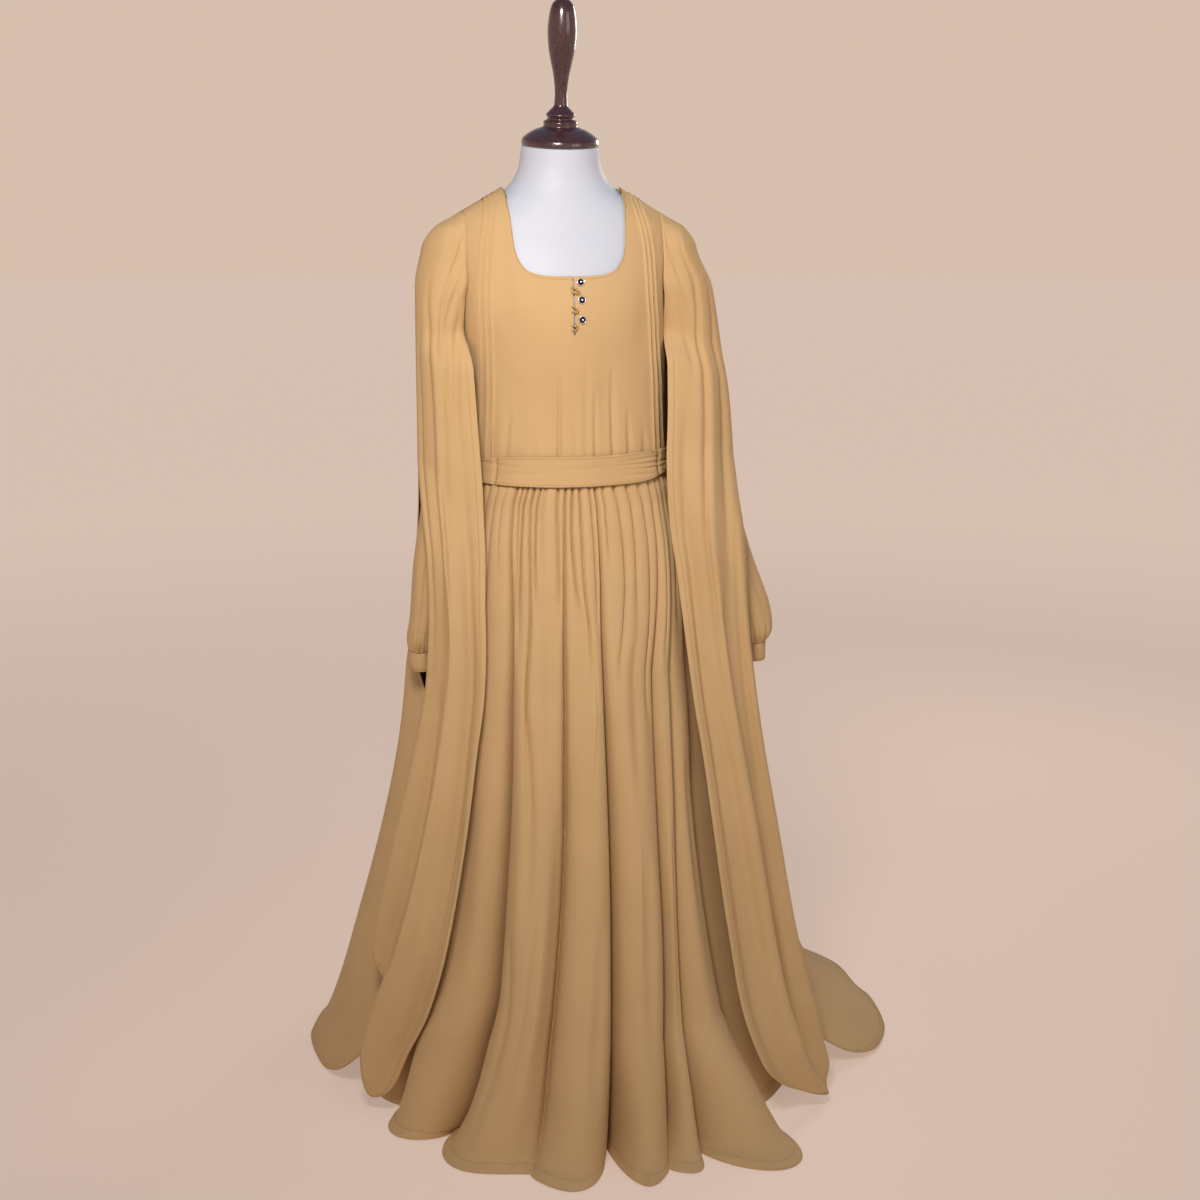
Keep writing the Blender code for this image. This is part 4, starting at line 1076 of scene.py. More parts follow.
def skirt():
    for side, valleys, courses, lines, creases in (
        ("front", FRONT_VALLEYS, FRONT_COURSES, FRONT_LINES, SKIRT_CREASES),
        ("back", BACK_VALLEYS, None, BACK_LINES, BACK_SKIRT_CREASES),
    ):
        grid = skirt_grid(valleys, courses, lines, creases, side == "back")
        hem = inside_line(grid[:-SKIRT_HEM_ROWS:-1], SKIRT_HEM, -STITCH_LIFT)
        stitches = sewn(f"skirt_{side}_hem_stitches", [hem])
        panel = sheet_object(f"skirt_{side}_panel", grid, CREPE)
        cloth(panel, f"skirt_{side}")


# The belt

# Wrinkles of the belt, across in degrees from the front and down in metres: they draw in at the right end.
BELT_WRINKLES = table(
    "across z rise wide half deep",
    (54, 1.0290, 0.0020, 16, 0.0022, 0.0016),
    (58, 1.0200, 0.0000, 18, 0.0026, 0.0020),
    (60, 1.0090, -0.0020, 17, 0.0022, 0.0018),
    (52, 0.9980, -0.0030, 14, 0.0020, 0.0014),
    (-62, 1.0240, -0.0030, 14, 0.0030, 0.0010),
    (-40, 1.0080, 0.0020, 20, 0.0035, 0.0006),
    (10, 1.0180, 0.0010, 26, 0.0045, 0.0006),
    (120, 1.0200, 0.0010, 18, 0.0030, 0.0010),
    (150, 1.0060, -0.0010, 20, 0.0030, 0.0010),
    (200, 1.0200, 0.0000, 20, 0.0030, 0.0008),
    (240, 1.0080, 0.0010, 18, 0.0030, 0.0010),
)

# Bearings where the belt dips into a crease of the dress at each side.
BELT_SLOTS = (-60, 66)
BELT_OFF = 0.0048
BELT_WALL = 0.0014


def belt():
    degrees = np.arange(0, 360, 2.0)
    near_slots = [slot + step for slot in BELT_SLOTS for step in (-2.2, -1.4, -0.7, 0.7, 1.4, 2.2)]
    degrees = np.unique(np.concatenate([degrees, np.array(near_slots) % 360]))[None, :]
    signed = (degrees + 180) % 360 - 180
    drop = 0.0085 * bell(signed + 78, 20)
    rise = 0.0030 * bell(signed - 62, 22)
    pinch = 0.0100 * bell(signed - 76, 16)
    top = BELT_TOP - drop + rise
    bottom = BELT_BOTTOM + pinch
    share = np.linspace(0, 1, 30)[:, None]
    z = mix(top, bottom, share)
    grid = body_ring(np.radians(degrees), z, dress_off(z) + BELT_OFF)
    amount = 0.0006 * np.sin(math.pi * share) + 0 * degrees
    for across, height, slope, wide, half, deep in zip(*BELT_WRINKLES.values()):
        turn = (degrees - across + 180) % 360 - 180
        line = height + slope * turn / wide
        amount -= deep * bell(turn, wide) * bell(z - line, half)
    amount -= 0.0004 * (bell(share - 0.06, 0.02) + bell(share - 0.94, 0.02))
    for slot in BELT_SLOTS:
        amount -= 0.0042 * bell((degrees - slot + 180) % 360 - 180, 1.3)
    grid = pulled(push(grid, amount, closed=True))
    rounds = [inside_line(half[:, list(range(grid.shape[1])) + [0]], 0.003, lift) for half, lift in
              ((grid, STITCH_LIFT), (grid[::-1], -STITCH_LIFT))]
    stitches = sewn("belt_stitches", rounds)
    made = sheet_object("sash_belt", grid, CREPE, closed=True, wall=BELT_WALL)
    cloth(made, "belt")


# Buttons and loops

BUTTONS = table("z x", (1.2990, 0.0105), (1.2730, 0.0110), (1.2450, 0.0110))
# A button's radii and heights from the top down, and 1 where its face is dark down to the next one.
BUTTON_PROFILE = (
    # The first two rows, out to 1.4 mm, make a bright boss that is a painted highlight on the dark dome;
    # the rows from 4.6 mm out are the real bright rim.
    (TIP, 0.0044, 0),
    (0.0009, 0.0043, 0),
    (0.0014, 0.0040, 1),
    (0.0022, 0.0034, 1),
    (0.0031, 0.0025, 1),
    (0.0040, 0.0016, 1),
    (0.0046, 0.0019, 0),
    (0.0050, 0.0024, 0),
    (0.0054, 0.0026, 0),
    (0.0058, 0.0023, 0),
    (0.0062, 0.0015, 0),
    (0.0062, 0.0006, 0),
    (0.0058, 0.0002, 0),
    (TIP, 0.0000, 0),
)
LOOPS = table("z reach droop", (1.2870, 0.0120, 0.004), (1.2600, 0.0090, 0.003), (1.2325, 0.0085, -0.002))
LOOP_RADIUS = 0.0014


def fastening():
    for number, k in enumerate(reversed(range(3)), 1):
        z, x = BUTTONS["z"][k], BUTTONS["x"][k]
        on = Vector(body_point(np.array(x), np.array(z), dress_off(z))) - Vector((0, SEAM_SHIFT, 0))
        off = Vector(body_point(np.array(x), np.array(z), dress_off(z) + 0.01)) - Vector((0, SEAM_SHIFT, 0))
        out = (off - on).normalized()
        place = Matrix.Translation(on + out * 0.0002) @ out.to_track_quat("Z", "Y").to_matrix().to_4x4()
        profile = [(radius, height) for radius, height, _ in BUTTON_PROFILE]
        button = turned_object(f"domed_button_{number}", profile, 32, [RIM_AND_PAINTED_HIGHLIGHT, DARK_DOME], place)
        domed = [bool(BUTTON_PROFILE[i][2]) for i in range(len(BUTTON_PROFILE) - 1) for _ in range(32)]
        button.data.polygons.foreach_set("material_index", [int(d) for d in domed])
        settle(button, f"button_{number}")

        height, reach, droop = LOOPS["z"][k], LOOPS["reach"][k], LOOPS["droop"][k]
        turn = np.linspace(0, math.pi, 40)
        across = -SLIT_HALF - 0.0015 + reach * np.abs(np.sin(turn)) ** 0.8
        up = height + 0.0035 * np.cos(turn) - droop * np.sin(turn) + 0.0005 * np.sin(5 * turn)
        middle = body_point(across, up, dress_off(up) + LOOP_RADIUS + 0.0004)
        middle[:, 1] -= SEAM_SHIFT
        ahead = np.gradient(middle, axis=0)
        ahead /= np.linalg.norm(ahead, axis=-1, keepdims=True)
        side = np.cross(ahead, np.array([0.0, -1.0, 0.0]))
        side /= np.linalg.norm(side, axis=-1, keepdims=True)
        over = np.cross(side, ahead)
        ring = np.linspace(0, math.tau, 14, endpoint=False)[None, :, None]
        twist = LOOP_RADIUS * (1 + 0.14 * np.sin(2 * ring + 9 * turn[:, None, None]))
        grid = middle[:, None] + twist * (side[:, None] * np.cos(ring) + over[:, None] * np.sin(ring))
        first, last = middle[:1, None], middle[-1:, None]
        grid = np.concatenate([first + 0.02 * (grid[:1] - first), grid, last + 0.02 * (grid[-1:] - last)])
        # The loops wear the darker crepe, which is painted shade.
        loop = sheet_object(f"rouleau_loop_{number}", grid, ROULEAU_PAINTED_SHADE, closed=True, turned=True, wall=0)
        settle(loop, f"button_loop_{number}")


# Sleeves

LEFT_SLEEVE = table(
    "row out y z half_out half_deep tilt",
    (1, 0.1820, 0.003, 1.3180, 0.0480, 0.0420, 76),
    (2, 0.1900, 0.002, 1.2860, 0.0380, 0.0400, 56),
    (3, 0.1910, 0.002, 1.2400, 0.0260, 0.0380, 30),
    (4, 0.1900, 0.004, 1.1700, 0.0230, 0.0360, 8),
    (5, 0.1880, 0.005, 1.0600, 0.0230, 0.0360, 0),
    (6, 0.2000, 0.005, 0.9600, 0.0230, 0.0380, 0),
    (7, 0.2150, 0.004, 0.8600, 0.0230, 0.0420, 0),
    (8, 0.2240, 0.003, 0.7800, 0.0210, 0.0440, 0),
    (9, 0.2300, 0.002, 0.7400, 0.0200, 0.0400, 0),
    (10, 0.2300, 0.002, 0.7180, 0.0175, 0.0300, 0),
)
RIGHT_SLEEVE = table(
    "row out y z half_out half_deep tilt",
    (1, 0.1830, 0.003, 1.3180, 0.0480, 0.0420, 76),
    (2, 0.1950, 0.003, 1.2860, 0.0380, 0.0400, 56),
    (3, 0.2010, 0.004, 1.2400, 0.0270, 0.0380, 30),
    (4, 0.2130, 0.006, 1.1700, 0.0250, 0.0360, 8),
    (5, 0.2290, 0.008, 1.0600, 0.0270, 0.0360, 0),
    (6, 0.2540, 0.008, 0.9600, 0.0310, 0.0380, 0),
    (7, 0.2780, 0.006, 0.8600, 0.0370, 0.0430, 0),
    (8, 0.3040, 0.000, 0.7800, 0.0400, 0.0460, 0),
    (9, 0.3160, -0.004, 0.7350, 0.0330, 0.0420, 0),
    (10, 0.3180, -0.006, 0.7120, 0.0200, 0.0310, 0),
)
CUFF_HEIGHT = 0.030
ARMHOLE_GAP = 0.0019

# Folds down a sleeve, across in degrees round it.
SLEEVE_CREASES = table(
    "start high bend end low half deep",
    (20, 1.26, 10, 10, 0.90, 14, 0.0040),
    (70, 1.10, -8, 60, 0.74, 12, 0.0050),
    (118, 1.24, 6, 125, 0.86, 16, 0.0040),
    (165, 1.02, 5, 170, 0.74, 12, 0.0045),
    (205, 1.22, 0, 215, 0.84, 15, 0.0040),
    (255, 1.06, 6, 250, 0.75, 13, 0.0050),
    (300, 1.25, -8, 310, 0.88, 16, 0.0040),
    (340, 1.00, 0, 345, 0.74, 12, 0.0045),
)


def armhole_ring(turn, out):
    """The bodice's armhole edge, moved out: from the shoulder down the front and up the back."""
    z = mix(UNDERARM_Z, SHOULDER_END_Z, (1 + np.cos(turn)) / 2)
    rings = [body_point(side_x(z), z, dress_off(z), back) for back in (False, True)]
    ring = np.where((np.sin(turn) < 0)[..., None], rings[1], rings[0])
    return ring + np.array([out, 0, 0])


def sleeve_rings(rows, at, turn):
    """Rings at these places down the sleeve, as a grid."""
    at = at[:, None]
    tilt = np.radians(read(rows, "tilt", at))
    out = read(rows, "half_out", at) * np.cos(turn)
    deep = read(rows, "half_deep", at) * np.sin(turn)
    x = read(rows, "out", at) + out * np.cos(tilt)
    return points_of(x, read(rows, "y", at) - deep, read(rows, "z", at) + out * np.sin(tilt))


def sleeve(side, rows, sign):
    around = 96
    turn = np.linspace(0, math.tau, around, endpoint=False)[None, :]
    head = armhole_ring(turn, ARMHOLE_GAP)
    first = sleeve_rings(rows, np.array([1.0]), turn)
    share = np.linspace(0, 1, 12)[:-1, None, None]
    at = np.concatenate([np.linspace(1, 8, 72)[:-1], np.linspace(8, 10, 40)])
    rings = sleeve_rings(rows, at, turn)
    grid = np.concatenate([mix(head, first, share), rings])
    depth_down = np.concatenate([np.zeros(11), at])[:, None]
    z = grid[..., 2]
    folds = creased(SLEEVE_CREASES, np.degrees(turn), z) * ease_in(1.33 - z, 0.0, 0.1)
    gathers = np.abs(np.sin(turn * 9 + 0.5 * np.sin(3 * turn))) ** 0.7 - 0.6
    gathers = gathers * 0.0042 * ease_in(depth_down, 8.2, 9.6) * (1.15 - ease_in(depth_down, 9.7, 10.0))
    easing = (np.cos(turn * 14) * 0.5 - 0.5) * 0.0010 * (1 - ease_in(depth_down, 0.0, 1.2))
    grid = push(grid, folds + gathers + easing, turned=True, closed=True)
    grid[..., 0] *= sign
    name = f"bishop_sleeve_{side}"
    made = sheet_object(name, grid, CREPE, closed=True, turned=sign > 0)
    cloth(made, f"sleeve_{side}")

    drops = [GAP, 0.0012, 0.0022, 0.0032, 0.006, 0.010, 0.014, 0.018, 0.022, 0.026, 0.0275, 0.029]
    drops = np.array(drops + [CUFF_HEIGHT])
    ring = sleeve_rings(rows, np.array([10.0]), turn)
    grid = np.repeat(ring, len(drops), axis=0)
    grid[..., 2] -= drops[:, None]
    band = 0.0009 * np.sin(math.pi * np.clip(drops / CUFF_HEIGHT, 0, 1)) ** 0.3
    wave = 0.0007 * np.cos(turn * 11) * (1 - ease_in(drops, 0.002, 0.010))[:, None]
    seam = 0.0006 * bell(drops - 0.0275, 0.0012)
    grid = push(grid, (band - seam)[:, None] + wave, turned=True, closed=True)
    grid[..., 0] *= sign
    edge = inside_line(grid[::-1][:, list(range(around)) + [0]], 0.0035, STITCH_LIFT * sign)
    stitches = sewn(f"cuff_stitches_{side}", [edge])
    cuff = sheet_object(f"cuff_band_{side}", grid, CREPE, closed=True, turned=sign > 0)
    cloth(cuff, f"cuff_{side}")


# The cape

CAPE_OFF = 0.0062
CAPE_HEM = 0.010
CAPE_TOP_X = 0.149
CAPE_END_X = 0.2085
# Between these heights the cape comes to lie on the shoulder.
CAPE_SHOULDER = (1.29, 1.36)
# Enough rows or columns of the grid to reach past the hem's stitches.
CAPE_HEM_ROWS = 40
LEFT_SIDE = table(
    "z x y",
    (0.98, 0.2270, 0),
    (1.10, 0.2270, 0),
    (1.20, 0.2275, 0),
    (1.30, 0.2270, 0),
    (1.36, 0.2155, 0),
)
RIGHT_SIDE = table(
    "z x y",
    (0.98, 0.2830, 0),
    (1.10, 0.2740, 0),
    (1.20, 0.2580, 0),
    (1.30, 0.2400, 0),
    (1.36, 0.2155, 0),
)
LEFT_INNER = table(
    "z x y",
    (0.0018, 0.306, -0.160),
    (0.030, 0.303, -0.166),
    (0.100, 0.286, -0.190),
    (0.200, 0.250, -0.232),
    (0.290, 0.226, -0.246),
    (0.465, 0.188, -0.221),
    (0.600, 0.165, -0.194),
    (0.680, 0.151, -0.177),
    (0.750, 0.145, -0.160),
    (0.820, 0.142, -0.136),
    (0.900, 0.138, -0.112),
    (0.970, 0.138, -0.094),
    (1.090, 0.143, -0.078),
    (1.190, 0.149, -0.074),
)
LEFT_OUTER = table(
    "z x y",
    (0.260, 0.300, -0.110),
    (0.310, 0.296, -0.105),
    (0.440, 0.276, -0.095),
    (0.500, 0.262, -0.092),
    (0.637, 0.232, -0.088),
    (0.700, 0.222, -0.082),
    (0.790, 0.219, -0.074),
    (0.880, 0.222, -0.066),
    (0.960, 0.226, -0.030),
    (1.020, 0.227, 0.000),
)
RIGHT_INNER = table(
    "z x y",
    (0.0018, 0.345, -0.285),
    (0.030, 0.310, -0.300),
    (0.100, 0.262, -0.314),
    (0.200, 0.230, -0.286),
    (0.281, 0.221, -0.256),
    (0.375, 0.210, -0.234),
    (0.467, 0.202, -0.208),
    (0.574, 0.192, -0.178),
    (0.653, 0.182, -0.158),
    (0.720, 0.176, -0.140),
    (0.795, 0.170, -0.118),
    (0.843, 0.166, -0.106),
    (0.930, 0.156, -0.090),
    (1.020, 0.152, -0.085),
    (1.110, 0.155, -0.078),
    (1.190, 0.155, -0.072),
)
RIGHT_OUTER = table(
    "z x y",
    (0.0018, 0.420, -0.190),
    (0.100, 0.385, -0.170),
    (0.250, 0.355, -0.130),
    (0.420, 0.330, -0.105),
    (0.600, 0.305, -0.085),
    (0.790, 0.288, -0.075),
    (0.900, 0.285, -0.060),
    (0.960, 0.282, -0.030),
    (1.020, 0.280, 0.000),
)
CAPE_SWELL = table(
    "z left right",
    (0.000, 0.052, 0.020),
    (0.150, 0.034, 0.022),
    (0.400, 0.024, 0.024),
    (0.700, 0.020, 0.020),
    (0.900, 0.026, 0.026),
    (1.000, 0.030, 0.030),
    (1.200, 0.030, 0.030),
    (1.300, 0.022, 0.022),
    (1.350, 0.010, 0.010),
    (1.390, 0.002, 0.002),
    (1.403, 0.000, 0.000),
)
CAPE_FOLDS = table(
    "z depth",
    (0.000, 0.020),
    (0.200, 0.017),
    (0.500, 0.012),
    (0.800, 0.007),
    (1.100, 0.003),
    (1.300, 0.000),
)
LEFT_HEM = table("share z", (0.0, 0.0018), (0.25, 0.012), (0.5, 0.110), (0.75, 0.215), (1.0, 0.262))
RIGHT_HEM = table("share z", (0.0, 0.0018), (0.5, 0.0018), (1.0, 0.0018))

# Folds of the cape fronts, across as a share from the sewn edge to the outer one.
LEFT_CAPE_CREASES = table(
    "start high bend end low half deep",
    (0.02, 1.385, 0.10, 0.34, 1.20, 0.035, 0.0030),
    (0.00, 1.330, 0.12, 0.30, 1.12, 0.040, 0.0036),
    (0.00, 1.280, 0.10, 0.20, 1.02, 0.045, 0.0040),
    (0.34, 1.300, 0.02, 0.40, 0.70, 0.060, 0.0060),
    (0.62, 1.320, -0.03, 0.66, 0.80, 0.060, 0.0050),
    (0.84, 1.250, 0.02, 0.82, 0.62, 0.050, 0.0050),
    (0.20, 1.020, 0.02, 0.22, 0.34, 0.050, 0.0050),
    (0.52, 0.860, 0.02, 0.54, 0.12, 0.070, 0.0080),
    (0.74, 0.700, -0.03, 0.70, 0.24, 0.050, 0.0070),
    (0.36, 0.620, 0.03, 0.36, 0.06, 0.050, 0.0070),
    (0.10, 0.520, 0.00, 0.12, 0.02, 0.040, 0.0060),
)
RIGHT_CAPE_CREASES = table(
    "start high bend end low half deep",
    (0.02, 1.385, 0.08, 0.30, 1.18, 0.035, 0.0032),
    (0.00, 1.330, 0.10, 0.26, 1.14, 0.040, 0.0036),
    (0.44, 1.370, -0.03, 0.40, 0.55, 0.050, 0.0085),
    (0.72, 1.340, 0.02, 0.72, 0.80, 0.060, 0.0050),
    (0.16, 1.120, 0.02, 0.18, 0.40, 0.045, 0.0050),
    (0.28, 0.700, 0.02, 0.30, 0.06, 0.045, 0.0080),
    (0.56, 0.820, 0.02, 0.60, 0.08, 0.055, 0.0080),
    (0.84, 0.950, -0.03, 0.82, 0.20, 0.050, 0.0070),
    (0.70, 0.500, 0.00, 0.72, 0.02, 0.045, 0.0080),
)
BACK_CAPE_CREASES = table(
    "start high bend end low half deep",
    (-74, 1.300, 2, -70, 0.70, 3.3, 0.0086),
    (-52, 1.360, -3, -56, 0.50, 3.6, 0.0121),
    (-33, 1.330, 2, -30, 0.62, 3.3, 0.0103),
    (-14, 1.250, -2, -17, 0.40, 3.6, 0.0121),
    (4, 1.370, 2, 6, 0.55, 3.3, 0.0103),
    (22, 1.280, -2, 20, 0.45, 3.6, 0.0121),
    (41, 1.350, 2, 45, 0.60, 3.3, 0.0103),
    (60, 1.300, 0, 57, 0.50, 3.6, 0.0121),
    (76, 1.200, 0, 74, 0.66, 3.0, 0.0086),
    (-42, 0.560, 2, -44, 0.06, 2.6, 0.0172),
    (-8, 0.500, -2, -6, 0.05, 3.0, 0.0172),
    (31, 0.620, 2, 34, 0.06, 2.6, 0.0190),
    (66, 0.480, 0, 68, 0.05, 2.3, 0.0138),
)
BACK_SECTION = table(
    "z back left right middle front turn_left turn_right",
    (0.0018, 0.560, 0.410, 0.590, 0.110, 0.440, 25, 40),
    (0.030, 0.520, 0.396, 0.545, 0.095, 0.400, 25, 38),
    (0.080, 0.475, 0.378, 0.480, 0.070, 0.340, 27, 36),
    (0.200, 0.400, 0.345, 0.405, 0.040, 0.250, 30, 32),
    (0.400, 0.322, 0.290, 0.346, 0.040, 0.180, 27, 20),
    (0.560, 0.275, 0.256, 0.325, 0.052, 0.135, 27, 10),
    (0.640, 0.255, 0.246, 0.318, 0.058, 0.120, 25, 4),
    (0.675, 0.247, 0.2435, 0.316, 0.0585, 0.120, 19, 3),
    (0.700, 0.241, 0.242, 0.3145, 0.0595, 0.120, 9, 2),
    (0.740, 0.232, 0.2385, 0.312, 0.060, 0.120, 0, 1),
    (0.860, 0.205, 0.228, 0.305, 0.062, 0.120, 0, 0),
    (0.960, 0.182, 0.224, 0.290, 0.045, 0.120, 0, 0),
    (1.020, 0.166, 0.2270, 0.2800, 0.0, 0.120, 0, 0),
    (1.100, 0.150, 0.2270, 0.2740, 0.0, 0.120, 0, 0),
    (1.200, 0.134, 0.2275, 0.2580, 0.0, 0.120, 0, 0),
    (1.300, 0.120, 0.2270, 0.2400, 0.0, 0.120, 0, 0),
    (1.360, 0.110, 0.2155, 0.2155, 0.0, 0.120, 0, 0),
)


def cape_drops(count):
    """How far down from the shoulder each row lies, closer together near the shoulder and the hem."""
    drops = np.linspace(0, 1, count)
    return 0.35 * drops**2.6 + 0.65 * (1 - (1 - drops) ** 1.25) * ease_in(drops, 0.0, 0.35)


def cape_side_x(z):
    return np.maximum(CAPE_END_X, read(CAPE_BODY, "half_width", z))


def rounded_corners(grid, first, last):
    """Both lower corners of a panel rounded, by their own reaches."""
    grid = rounded_corner(grid, first)
    return rounded_corner(grid[:, ::-1], last)[:, ::-1]


def cape_hems(name, grid, first_free, last_free, sign):
    """The stitches down both free edges and along the foot of a cape panel."""
    first = np.swapaxes(grid[first_free, :CAPE_HEM_ROWS], 0, 1)
    last = np.swapaxes(grid[last_free, :-CAPE_HEM_ROWS:-1], 0, 1)
    lines = [
        inside_line(first, CAPE_HEM, -STITCH_LIFT * sign),
        inside_line(last, CAPE_HEM, STITCH_LIFT * sign),
        inside_line(grid[:-CAPE_HEM_ROWS:-1], CAPE_HEM, -STITCH_LIFT * sign),
    ]
    return sewn(name, lines)


def cape_front(side, sign, inner, outer, side_table, hem, creases, corners):
    share = np.linspace(0, 1, 111)[None, :]
    down = cape_drops(190)[:, None]
    tops = shoulder_z(mix(CAPE_TOP_X, CAPE_END_X, share), CAPE_BODY)
    z = mix(tops, read(hem, "z", share), down)
    inner_z = mix(tops[:, :1], read(hem, "z", 0.0), down)
    outer_z = mix(tops[:, -1:], read(hem, "z", 1.0), down)
    sewn_x = np.minimum(CAPE_TOP_X, side_x(inner_z) - 0.004)
    at_seam = body_point(sewn_x, inner_z, dress_off(inner_z) + CAPE_OFF - dress_off(1.4))
    free = points_of(read(inner, "x", inner_z), read(inner, "y", inner_z), inner_z)
    start = mix(free, at_seam, ease_in(inner_z, 1.17, 1.235)[..., None])
    joined = outer_z > SIDES_JOINED_DOWN_TO
    end_x = np.where(joined, read(side_table, "x", outer_z), read(outer, "x", outer_z))
    end_y = np.where(joined, read(side_table, "y", outer_z), read(outer, "y", outer_z))
    end = points_of(end_x, end_y, outer_z)
    chord = end - start
    normal = points_of(chord[..., 1], -chord[..., 0], 0)
    normal /= np.linalg.norm(normal, axis=-1, keepdims=True) + 1e-9
    fold = np.cos(math.tau * 2.0 * share + 0.9) - math.cos(0.9) * (1 - share)
    away = read(CAPE_SWELL, side, z) * 4 * share * (1 - share)
    opened = 0.3 + 0.7 * ease_in(z, 0.0, 0.14)
    away = away + read(CAPE_FOLDS, "depth", z) * opened * fold * np.minimum(1, 4 * share)
    grid = mix(start, end, share[..., None]) + normal * away[..., None]
    grid[..., 2] = z
    x = mix(CAPE_TOP_X, cape_side_x(z), share)
    over = body_point(x, z, CAPE_OFF, body=CAPE_BODY)
    at_edge = body_point(CAPE_TOP_X + 0 * z, z, CAPE_OFF, body=CAPE_BODY)
    at_seam = body_point(CAPE_TOP_X + 0 * z, z, CAPE_OFF)
    over = over + (at_seam - at_edge) * (1 - ease_in(share, 0.0, 0.6))[..., None]
    over[..., 1] = np.minimum(over[..., 1], 0.0)
    grid = mix(grid, over, ease_in(z, *CAPE_SHOULDER)[..., None])
    edges = ease_in(share, 0.0, 0.06) * ease_in(1 - share, 0.0, 0.06)
    amount = creased(creases, share, z) * edges
    metres = share * np.linalg.norm(chord, axis=-1)
    free_edge = 1 - ease_in(inner_z, 1.19, 1.23)
    amount = amount - 0.0006 * bell(metres - 0.010, 0.0014) * free_edge
    amount = amount - 0.0021 * (1 - ease_in(share, 0.0, 0.05)) * (1 - free_edge)
    grid = push(grid, amount)
    grid[..., 0] *= sign
    grid[..., 1] -= SEAM_SHIFT
    grid[..., 2] = np.maximum(grid[..., 2], HEM_RISE)
    grid = rounded_corners(grid, *corners)
    free_inner = grid[:, 0, 2] < 1.19
    free_outer = grid[:, -1, 2] < SIDES_JOINED_DOWN_TO - 0.01
    stitches = cape_hems(f"cape_front_hem_stitches_{side}", grid, free_inner, free_outer, sign)
    made = sheet_object(f"cape_front_panel_{side}", grid, CREPE, turned=sign < 0)
    cloth(made, f"cape_front_{side}")


def cape_back():
    angle = np.radians(np.linspace(-90, 90, 191))[None, :]
    sine = np.sin(angle)
    x_top = CAPE_END_X * sine
    nape = 1.434 - 0.010 * (1 - (x_top / SHOULDER_NECK_X) ** 2)
    tops = np.where(np.abs(x_top) < SHOULDER_NECK_X, nape, shoulder_z(np.abs(x_top), CAPE_BODY))
    z = mix(tops, HEM_RISE, cape_drops(180)[:, None])
    left = sine < 0
    turned = np.where(left, read(BACK_SECTION, "turn_left", z), read(BACK_SECTION, "turn_right", z))
    turn = angle * (1 + turned / 90)
    middle = read(BACK_SECTION, "middle", z)
    fold = read(CAPE_FOLDS, "depth", z) * 1.8 * np.maximum(0.0, np.cos(angle)) ** 1.5
    fold = fold * (np.sin(9 * angle + 0.8 * np.sin(2 * angle) + 0.6) + 0.45)
    wide = np.where(left, read(BACK_SECTION, "left", z), read(BACK_SECTION, "right", z)) + fold
    behind = read(BACK_SECTION, "back", z) - middle
    deep = np.where(np.cos(turn) > 0, behind, read(BACK_SECTION, "front", z))
    grid = points_of(wide * np.sin(turn), middle + (deep + fold) * np.cos(turn), z)
    over = body_point(cape_side_x(z) * sine, z, CAPE_OFF, back=True, body=CAPE_BODY)
    grid = mix(grid, over, ease_in(z, *CAPE_SHOULDER)[..., None])
    edges = ease_in(90 - np.abs(np.degrees(angle)), 0.0, 8.0)
    amount = creased(BACK_CAPE_CREASES, np.degrees(angle), z) * edges
    grid = push(grid, amount, turned=True)
    ripple = 0.5 + 0.5 * np.sin(np.degrees(angle) * 0.31 + 2 * np.sin(np.degrees(angle) * 0.11))
    grid[..., 2] = np.maximum(grid[..., 2], HEM_RISE) + 0.006 * ripple * ease_in(0.02 - z, 0.0, 0.02)
    grid[..., 1] += SEAM_SHIFT
    grid = rounded_corners(grid, 0.12, 0.12)
    free = grid[:, 0, 2] < SIDES_JOINED_DOWN_TO - 0.01
    stitches = cape_hems("cape_back_hem_stitches", grid, free, free, -1)
    made = sheet_object("cape_back_panel", grid, CREPE, turned=True)
    cloth(made, "cape_back")


# Stage, light and camera

BACKDROP = "D7BFAE"
OVERHEAD = "6C7688"


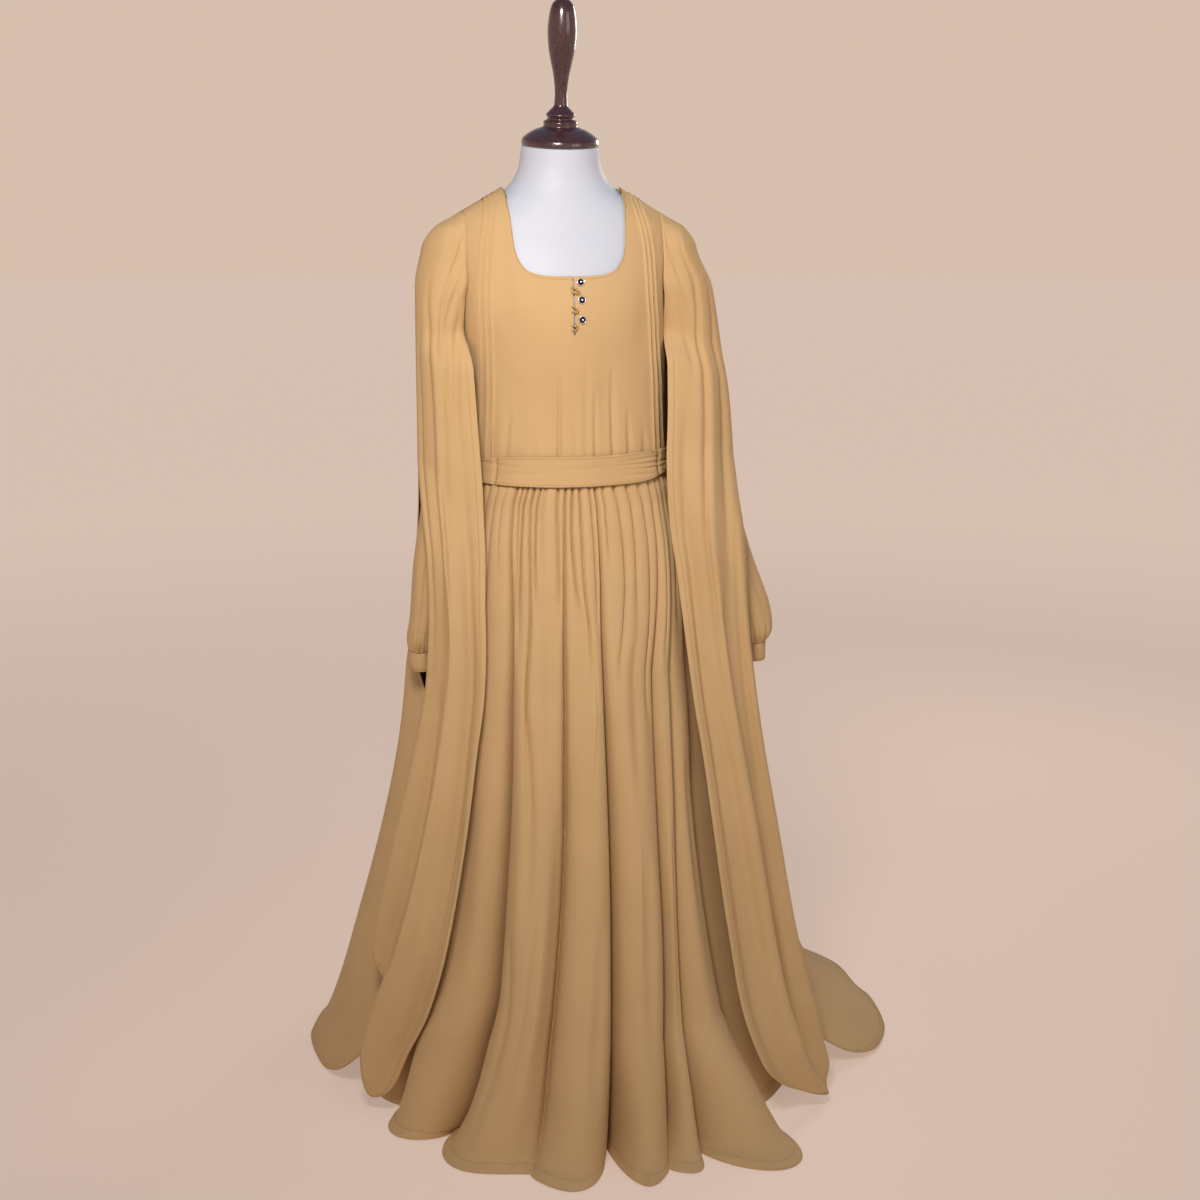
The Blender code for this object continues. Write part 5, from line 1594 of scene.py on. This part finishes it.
def stage():
    """A pale paper floor, glowing to the horizon, under a sky bright low down and dim overhead."""
    floor_material, tree, shader = new_material("plain paper floor", "B9A698", Roughness=0.9)
    shader.inputs["Specular IOR Level"].default_value = 0.1
    shader.inputs["Emission Color"].default_value = linear(BACKDROP)
    place = add_node(tree, "ShaderNodeTexCoord")
    away = add_node(tree, "ShaderNodeVectorMath", {"operation": "LENGTH"}, {0: place.outputs["Object"]})
    glow = add_node(
        tree,
        "ShaderNodeMapRange",
        {
            "From Min": 0.4,
            "From Max": 6.0,
            "To Min": 0.57,
            "To Max": 0.83,
            "interpolation_type": "SMOOTHSTEP",
        },
        {"Value": away.outputs["Value"]},
    )
    tree.links.new(glow.outputs[0], shader.inputs["Emission Strength"])
    radius = np.array([0.001, 1.0, 3.0, 6.0, 14.0, 40.0])[:, None]
    turn = np.linspace(0, math.tau, 64, endpoint=False)[None, :]
    grid = points_of(radius * np.cos(turn), radius * np.sin(turn), -0.0006)
    floor = sheet_object("studio_floor", grid, floor_material, closed=True, wall=0)

    world = bpy.data.worlds.new("pale studio")
    world.use_nodes = True
    tree = world.node_tree
    direction = add_node(tree, "ShaderNodeTexCoord")
    upward = add_node(tree, "ShaderNodeSeparateXYZ", {}, {0: direction.outputs["Generated"]})
    overhead = add_node(
        tree, "ShaderNodeMapRange", {"From Min": 0.14, "From Max": 0.5}, {"Value": upward.outputs["Z"]}
    )
    sky = add_node(tree, "ShaderNodeMix", {"data_type": "RGBA"}, {"Factor": overhead.outputs[0]})
    sky.inputs[6].default_value = linear(BACKDROP)
    sky.inputs[7].default_value = linear(OVERHEAD)
    tree.links.new(sky.outputs[2], tree.nodes["Background"].inputs["Color"])
    bpy.context.scene.world = world
    bpy.context.scene.view_settings.view_transform = "Standard"


def lamp(name, place, aim, size, power, colour, spread=180):
    data = bpy.data.lights.new(name, "AREA")
    data.shape = "DISK"
    data.size = size
    data.energy = power
    data.color = linear(colour)[:3]
    data.spread = math.radians(spread)
    made = bpy.data.objects.new(name, data)
    made.location = place
    made.rotation_euler = (Vector(aim) - Vector(place)).to_track_quat("-Z", "Y").to_euler()
    made.visible_camera = False
    bpy.context.scene.collection.objects.link(made)


LENS = 55.02
CAMERA_BEARING = math.radians(-11)
CAMERA_PITCH = math.radians(11.88)
# Across, along and up, before the turn by its bearing.
CAMERA_PLACE = (0.0615, -2.9, 1.40)


def camera():
    data = bpy.data.cameras.new("photo camera")
    data.lens = LENS
    data.sensor_width = 36.0
    made = bpy.data.objects.new("photo camera", data)
    turn = CAMERA_BEARING
    x, y, height = CAMERA_PLACE
    made.location = (
        x * math.cos(turn) - y * math.sin(turn),
        x * math.sin(turn) + y * math.cos(turn),
        height,
    )
    made.rotation_euler = Euler((math.pi / 2 - CAMERA_PITCH, 0, turn))
    bpy.context.scene.collection.objects.link(made)
    bpy.context.scene.camera = made


stage()
lamp("key over the camera", (-0.45, -1.48, 2.10), (0.02, -0.05, 1.06), 0.5, 9.3, "FFF6F2", 100)
lamp("soft side fill", (1.5, -2.0, 1.7), (0.05, 0, 0.9), 1.2, 6, "EAF0FF")
lamp("rear lift", (1.7, 1.9, 2.0), (0, 0, 0.9), 0.9, 15, "FFF8F2")
camera()

dress_form()
bodice()
skirt()
belt()
fastening()
sleeve("left", LEFT_SLEEVE, -1)
sleeve("right", RIGHT_SLEEVE, 1)
cape_front("left", -1, LEFT_INNER, LEFT_OUTER, LEFT_SIDE, LEFT_HEM, LEFT_CAPE_CREASES, (0.08, 0.04))
cape_front("right", 1, RIGHT_INNER, RIGHT_OUTER, RIGHT_SIDE, RIGHT_HEM, RIGHT_CAPE_CREASES, (0.15, 0.08))
cape_back()
